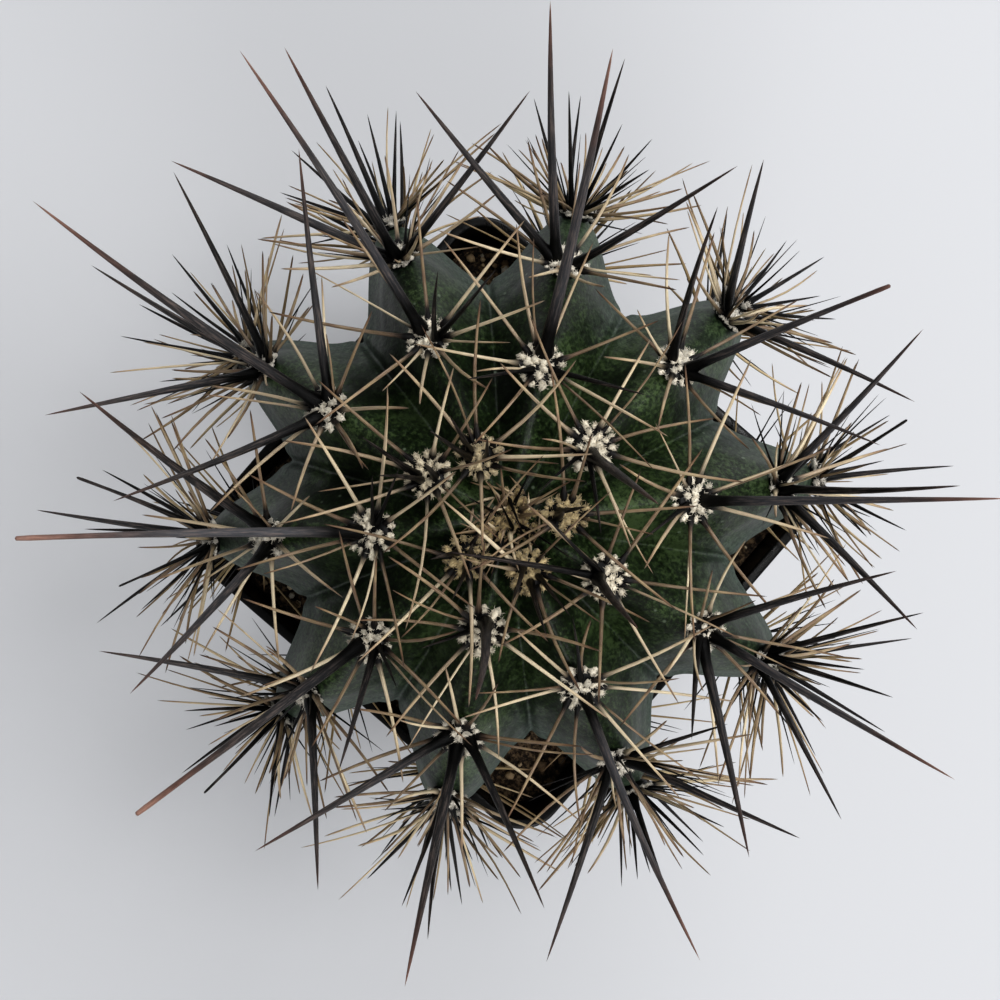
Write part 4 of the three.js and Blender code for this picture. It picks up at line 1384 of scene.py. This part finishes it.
def make_pot():
    under_lip = POT_HEIGHT - LIP_HIGH - LIP
    outside = [(pot_half(0) - FOOT_ROUND - 6, 0)]
    outside += rounded((pot_half(0) - FOOT_ROUND, 0), (pot_half(FOOT_ROUND), FOOT_ROUND), (pot_half(0), 0))
    outside += [(pot_half(height), height) for height in (20, 40, 60, COLLAR_FOOT)]
    outside += rounded(
        (pot_half(COLLAR_FOOT) + 0.2, COLLAR_FOOT + 0.2),
        (pot_half(COLLAR_FOOT + COLLAR_RISE), COLLAR_FOOT + COLLAR_RISE),
        (pot_half(COLLAR_FOOT + COLLAR_RISE), COLLAR_FOOT + 0.3),
    )
    outside += [(pot_half(under_lip), under_lip), (pot_half(under_lip) + LIP * 0.6, under_lip + LIP * 0.35)]
    outside += [(POT_RIM_HALF, POT_HEIGHT - LIP_HIGH)]
    outside += rounded(
        (POT_RIM_HALF, POT_HEIGHT - LIP_ROUND),
        (POT_RIM_HALF - LIP_ROUND, POT_HEIGHT),
        (POT_RIM_HALF, POT_HEIGHT),
    )
    inside_rim = POT_RIM_HALF - LIP - POT_WALL
    inside = rounded(
        (inside_rim + LIP_ROUND, POT_HEIGHT), (inside_rim, POT_HEIGHT - LIP_ROUND), (inside_rim, POT_HEIGHT)
    )
    step_top = COLLAR_FOOT + POT_WALL + 1
    inside += [(pot_half(step_top) - POT_WALL, step_top), (pot_half(COLLAR_FOOT) - POT_WALL, COLLAR_FOOT + 1)]
    inside += [(pot_half(FLOOR + FOOT_ROUND) - POT_WALL, FLOOR + FOOT_ROUND)]
    inside += [(pot_half(FLOOR) - POT_WALL - FOOT_ROUND, FLOOR)]
    rings = [square_ring(half, height) for half, height in outside]
    rings += [square_ring(half, height, POT_WALL) for half, height in inside]
    points = np.concatenate(rings + [[(0, 0, 0)], [(0, 0, FLOOR)]])
    faces = closed_faces(len(rings), len(rings[0]))
    pot = make_piece("nursery_pot", points, faces, [polypropylene])
    for x in (-1, 1):
        for y in (-1, 1):
            bpy.ops.mesh.primitive_cylinder_add(
                vertices=48,
                radius=DRAIN_RADIUS * MM,
                depth=FLOOR * 4 * MM,
                location=(x * DRAIN_OFFSET * MM, y * DRAIN_OFFSET * MM, 0),
            )
            drill = bpy.context.object
            hole = pot.modifiers.new("drain", "BOOLEAN")
            hole.object = drill
            hole.operation = "DIFFERENCE"
            hole.solver = "EXACT"
            bpy.context.view_layer.objects.active = pot
            bpy.ops.object.modifier_apply(modifier=hole.name)
            bpy.data.objects.remove(drill)
    return pot


pot = make_pot()
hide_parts("pot")
print("Pot faces:", len(pot.data.polygons))

# %% [markdown]
# ## The soil
# From above only the corners of the soil show, but from the side the eye runs in under the stem. Its top is
# a grid from the stem to the wall, raised into crumbs, with loose stones half sunk in it. A displaced grid
# gives the bed, and real small stones give the shadows that a bump alone can't.

# %% Soil bed
WALL_GAP = 0.5
BED_RINGS = 26
BED_TURNS = 220
BED_FOOT = FLOOR + 0.3  # the underside, just clear of the pot's floor


def bed_half(height):
    """Half the bed's width inside the pot's wall, at a height."""
    return pot_half(height) - POT_WALL - WALL_GAP


def wall_reach(half, turns):
    """How far the square wall lies from the middle, at each turn."""
    corner = half * CORNER_SHARE
    reach = half - corner
    c, s = np.abs(np.cos(turns)), np.abs(np.sin(turns))
    to_side = half / np.maximum(c, s)
    along = reach * (c + s)
    to_corner = along + np.sqrt(np.maximum(along * along - 2 * reach * reach + corner * corner, 0))
    return np.where(np.minimum(c, s) * to_side > reach, to_corner, to_side)


def wall_ring(half, height, turns):
    out = wall_reach(half, turns)
    return np.stack([out * np.cos(turns), out * np.sin(turns), np.full(len(turns), height)], -1)


def crumble(points):
    """The height of the crumbs at each point of the bed, in millimetres."""
    x, y = points[..., 0], points[..., 1]
    broad = 0.5 * np.sin(0.31 * x + 1.2 * np.sin(0.23 * y)) * np.sin(0.27 * y + 0.9)
    lumps = 0.35 * np.sin(1.37 * x + 2 * np.sin(0.7 * y)) * np.sin(1.21 * y + 2 * np.sin(0.9 * x))
    crumbs = 0.25 * np.sin(3.3 * x + 3 * np.sin(1.9 * y)) * np.sin(3.7 * y + 2 * np.sin(2.3 * x))
    return broad + lumps + crumbs


def make_bed():
    turns = np.arange(BED_TURNS) * 2 * math.pi / BED_TURNS
    at_stem = stem_point(np.full(BED_TURNS, SOIL_ANGLE), turns)
    at_stem[:, 2] = SOIL_LEVEL
    at_wall = wall_ring(bed_half(SOIL_LEVEL), SOIL_LEVEL, turns)
    shares = np.linspace(1, 0, BED_RINGS)[:, None, None]
    top = at_stem + (at_wall - at_stem) * shares
    top[..., 2] += crumble(top)
    low = top[-1].copy()
    low[:, 2] = SOIL_LEVEL - 5
    below = [
        wall_ring(bed_half(FLOOR) - 1, BED_FOOT, turns),
        wall_ring(bed_half(FLOOR + 2), FLOOR + 2, turns),
        wall_ring(bed_half(COLLAR_FOOT), COLLAR_FOOT + 1, turns),
        wall_ring(bed_half(COLLAR_FOOT + 3), COLLAR_FOOT + 3, turns),
    ]
    rings = np.concatenate([np.stack(below), top, low[None]])
    points = np.concatenate([rings.reshape(-1, 3), [(0, 0, BED_FOOT)], [low.mean(axis=0)]])
    return make_piece("soil_bed", points, closed_faces(len(rings), BED_TURNS), [damp_peat])


bed = make_bed()
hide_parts("soil")

# %% Loose grit
STONES = 1200
STONE_SIZE = (0.4, 1.3)
STONE_POINTS, STONE_FACES = ball(3, 6)


def make_grit_bed():
    batch = Batch()
    half = bed_half(SOIL_LEVEL)
    for k in range(STONES):
        turn = k * GOLDEN_ANGLE
        near = np.linalg.norm(stem_point(SOIL_ANGLE, turn)[:2]) + 1.5
        far = wall_reach(half, np.array([turn]))[0] - 1.8
        out = math.sqrt(near**2 + (far**2 - near**2) * fraction(k + 0.5))
        size = STONE_SIZE[0] + (STONE_SIZE[1] - STONE_SIZE[0]) * fraction(k + 70) ** 2
        lumps = np.array([1 + 0.5 * (fraction(k * 29 + i) - 0.5) for i in range(len(STONE_POINTS))])
        shape = STONE_POINTS * lumps[:, None] * size * np.array([1, between((0.6, 1), k + 90), 0.7])
        spin = 2 * math.pi * fraction(k + 110)
        c, s = math.cos(spin), math.sin(spin)
        axes = np.array([[c, s, 0], [-s, c, 0], [0, 0, 1]])
        place = np.array([out * math.cos(turn), out * math.sin(turn), SOIL_LEVEL])
        place[2] += crumble(place) + 0.55 * size + 0.15
        batch.add(place + shape @ axes, STONE_FACES, 0, tone=fraction(k + 130))
    return batch.piece("loose_grit", [loose_grit])


grit = make_grit_bed()
print("Grit faces:", len(grit.data.polygons))

# %% [markdown]
# ## The studio
# The photograph has a plain pale background and soft light. Three wide round panels, on the right, far and
# near sides, and a small one overhead give that. The world fills in the shadows, and the paper glows very
# slightly.

# %% Floor, lights and world
FLOOR_SIZE = 10  # metres
FLOOR_HEIGHT = -0.0004  # metres, just under the pot
AIM = (0, 0, 0.1)  # metres, the middle of the plant
FLOOR_GLOW = 0.07  # as of paper on a light table, which keeps shadows pale


def make_floor():
    paper, shader = new_material("pale_paper")
    shader.inputs["Base Color"].default_value = linear("#cdced1")
    shader.inputs["Roughness"].default_value = 0.9
    shader.inputs["Emission Color"].default_value = linear("#ffffff")
    shader.inputs["Emission Strength"].default_value = FLOOR_GLOW
    mesh = bpy.data.meshes.new("floor")
    half = FLOOR_SIZE / 2
    corners = [(x * half, y * half, FLOOR_HEIGHT) for x, y in ((-1, -1), (1, -1), (1, 1), (-1, 1))]
    mesh.from_pydata(corners, [], [(0, 1, 2, 3)])
    mesh.materials.append(paper)
    floor = bpy.data.objects.new("floor", mesh)
    bpy.context.scene.collection.objects.link(floor)
    return floor


def add_panel(name, place, size, watts):
    light = bpy.data.lights.new(name, "AREA")
    light.shape = "DISK"
    light.size = size
    light.energy = watts
    panel = bpy.data.objects.new(name, light)
    panel.location = place
    panel.rotation_euler = (Vector(AIM) - Vector(place)).to_track_quat("-Z", "Y").to_euler()
    bpy.context.scene.collection.objects.link(panel)


def view_place(right, up, height):
    """A place in the room, from metres to the right of and up from the middle of the view."""
    c, s = math.cos(VIEW_TURN), math.sin(VIEW_TURN)
    return (right * c - up * s, right * s + up * c, height)


make_floor()
add_panel("right_panel", view_place(0.95, 0.1, 0.9), 0.7, 5)
add_panel("far_panel", view_place(0.35, 1.0, 1.0), 0.8, 5.6)
add_panel("near_panel", view_place(0.25, -1.0, 1.0), 0.8, 6)
add_panel("top_panel", view_place(0.25, 0.12, 1.1), 0.18, 2)
world = bpy.context.scene.world or bpy.data.worlds.new("room")
bpy.context.scene.world = world
world.use_nodes = True
world.node_tree.nodes["Background"].inputs["Color"].default_value = linear("#e4e6ea")
world.node_tree.nodes["Background"].inputs["Strength"].default_value = 0.3
bpy.context.scene.view_settings.view_transform = "Standard"
bpy.context.scene.view_settings.look = "Medium High Contrast"

# %% [markdown]
# Last, the CAD model's box is printed.

# %% Size and finish
print("CAD box:", cad_box)
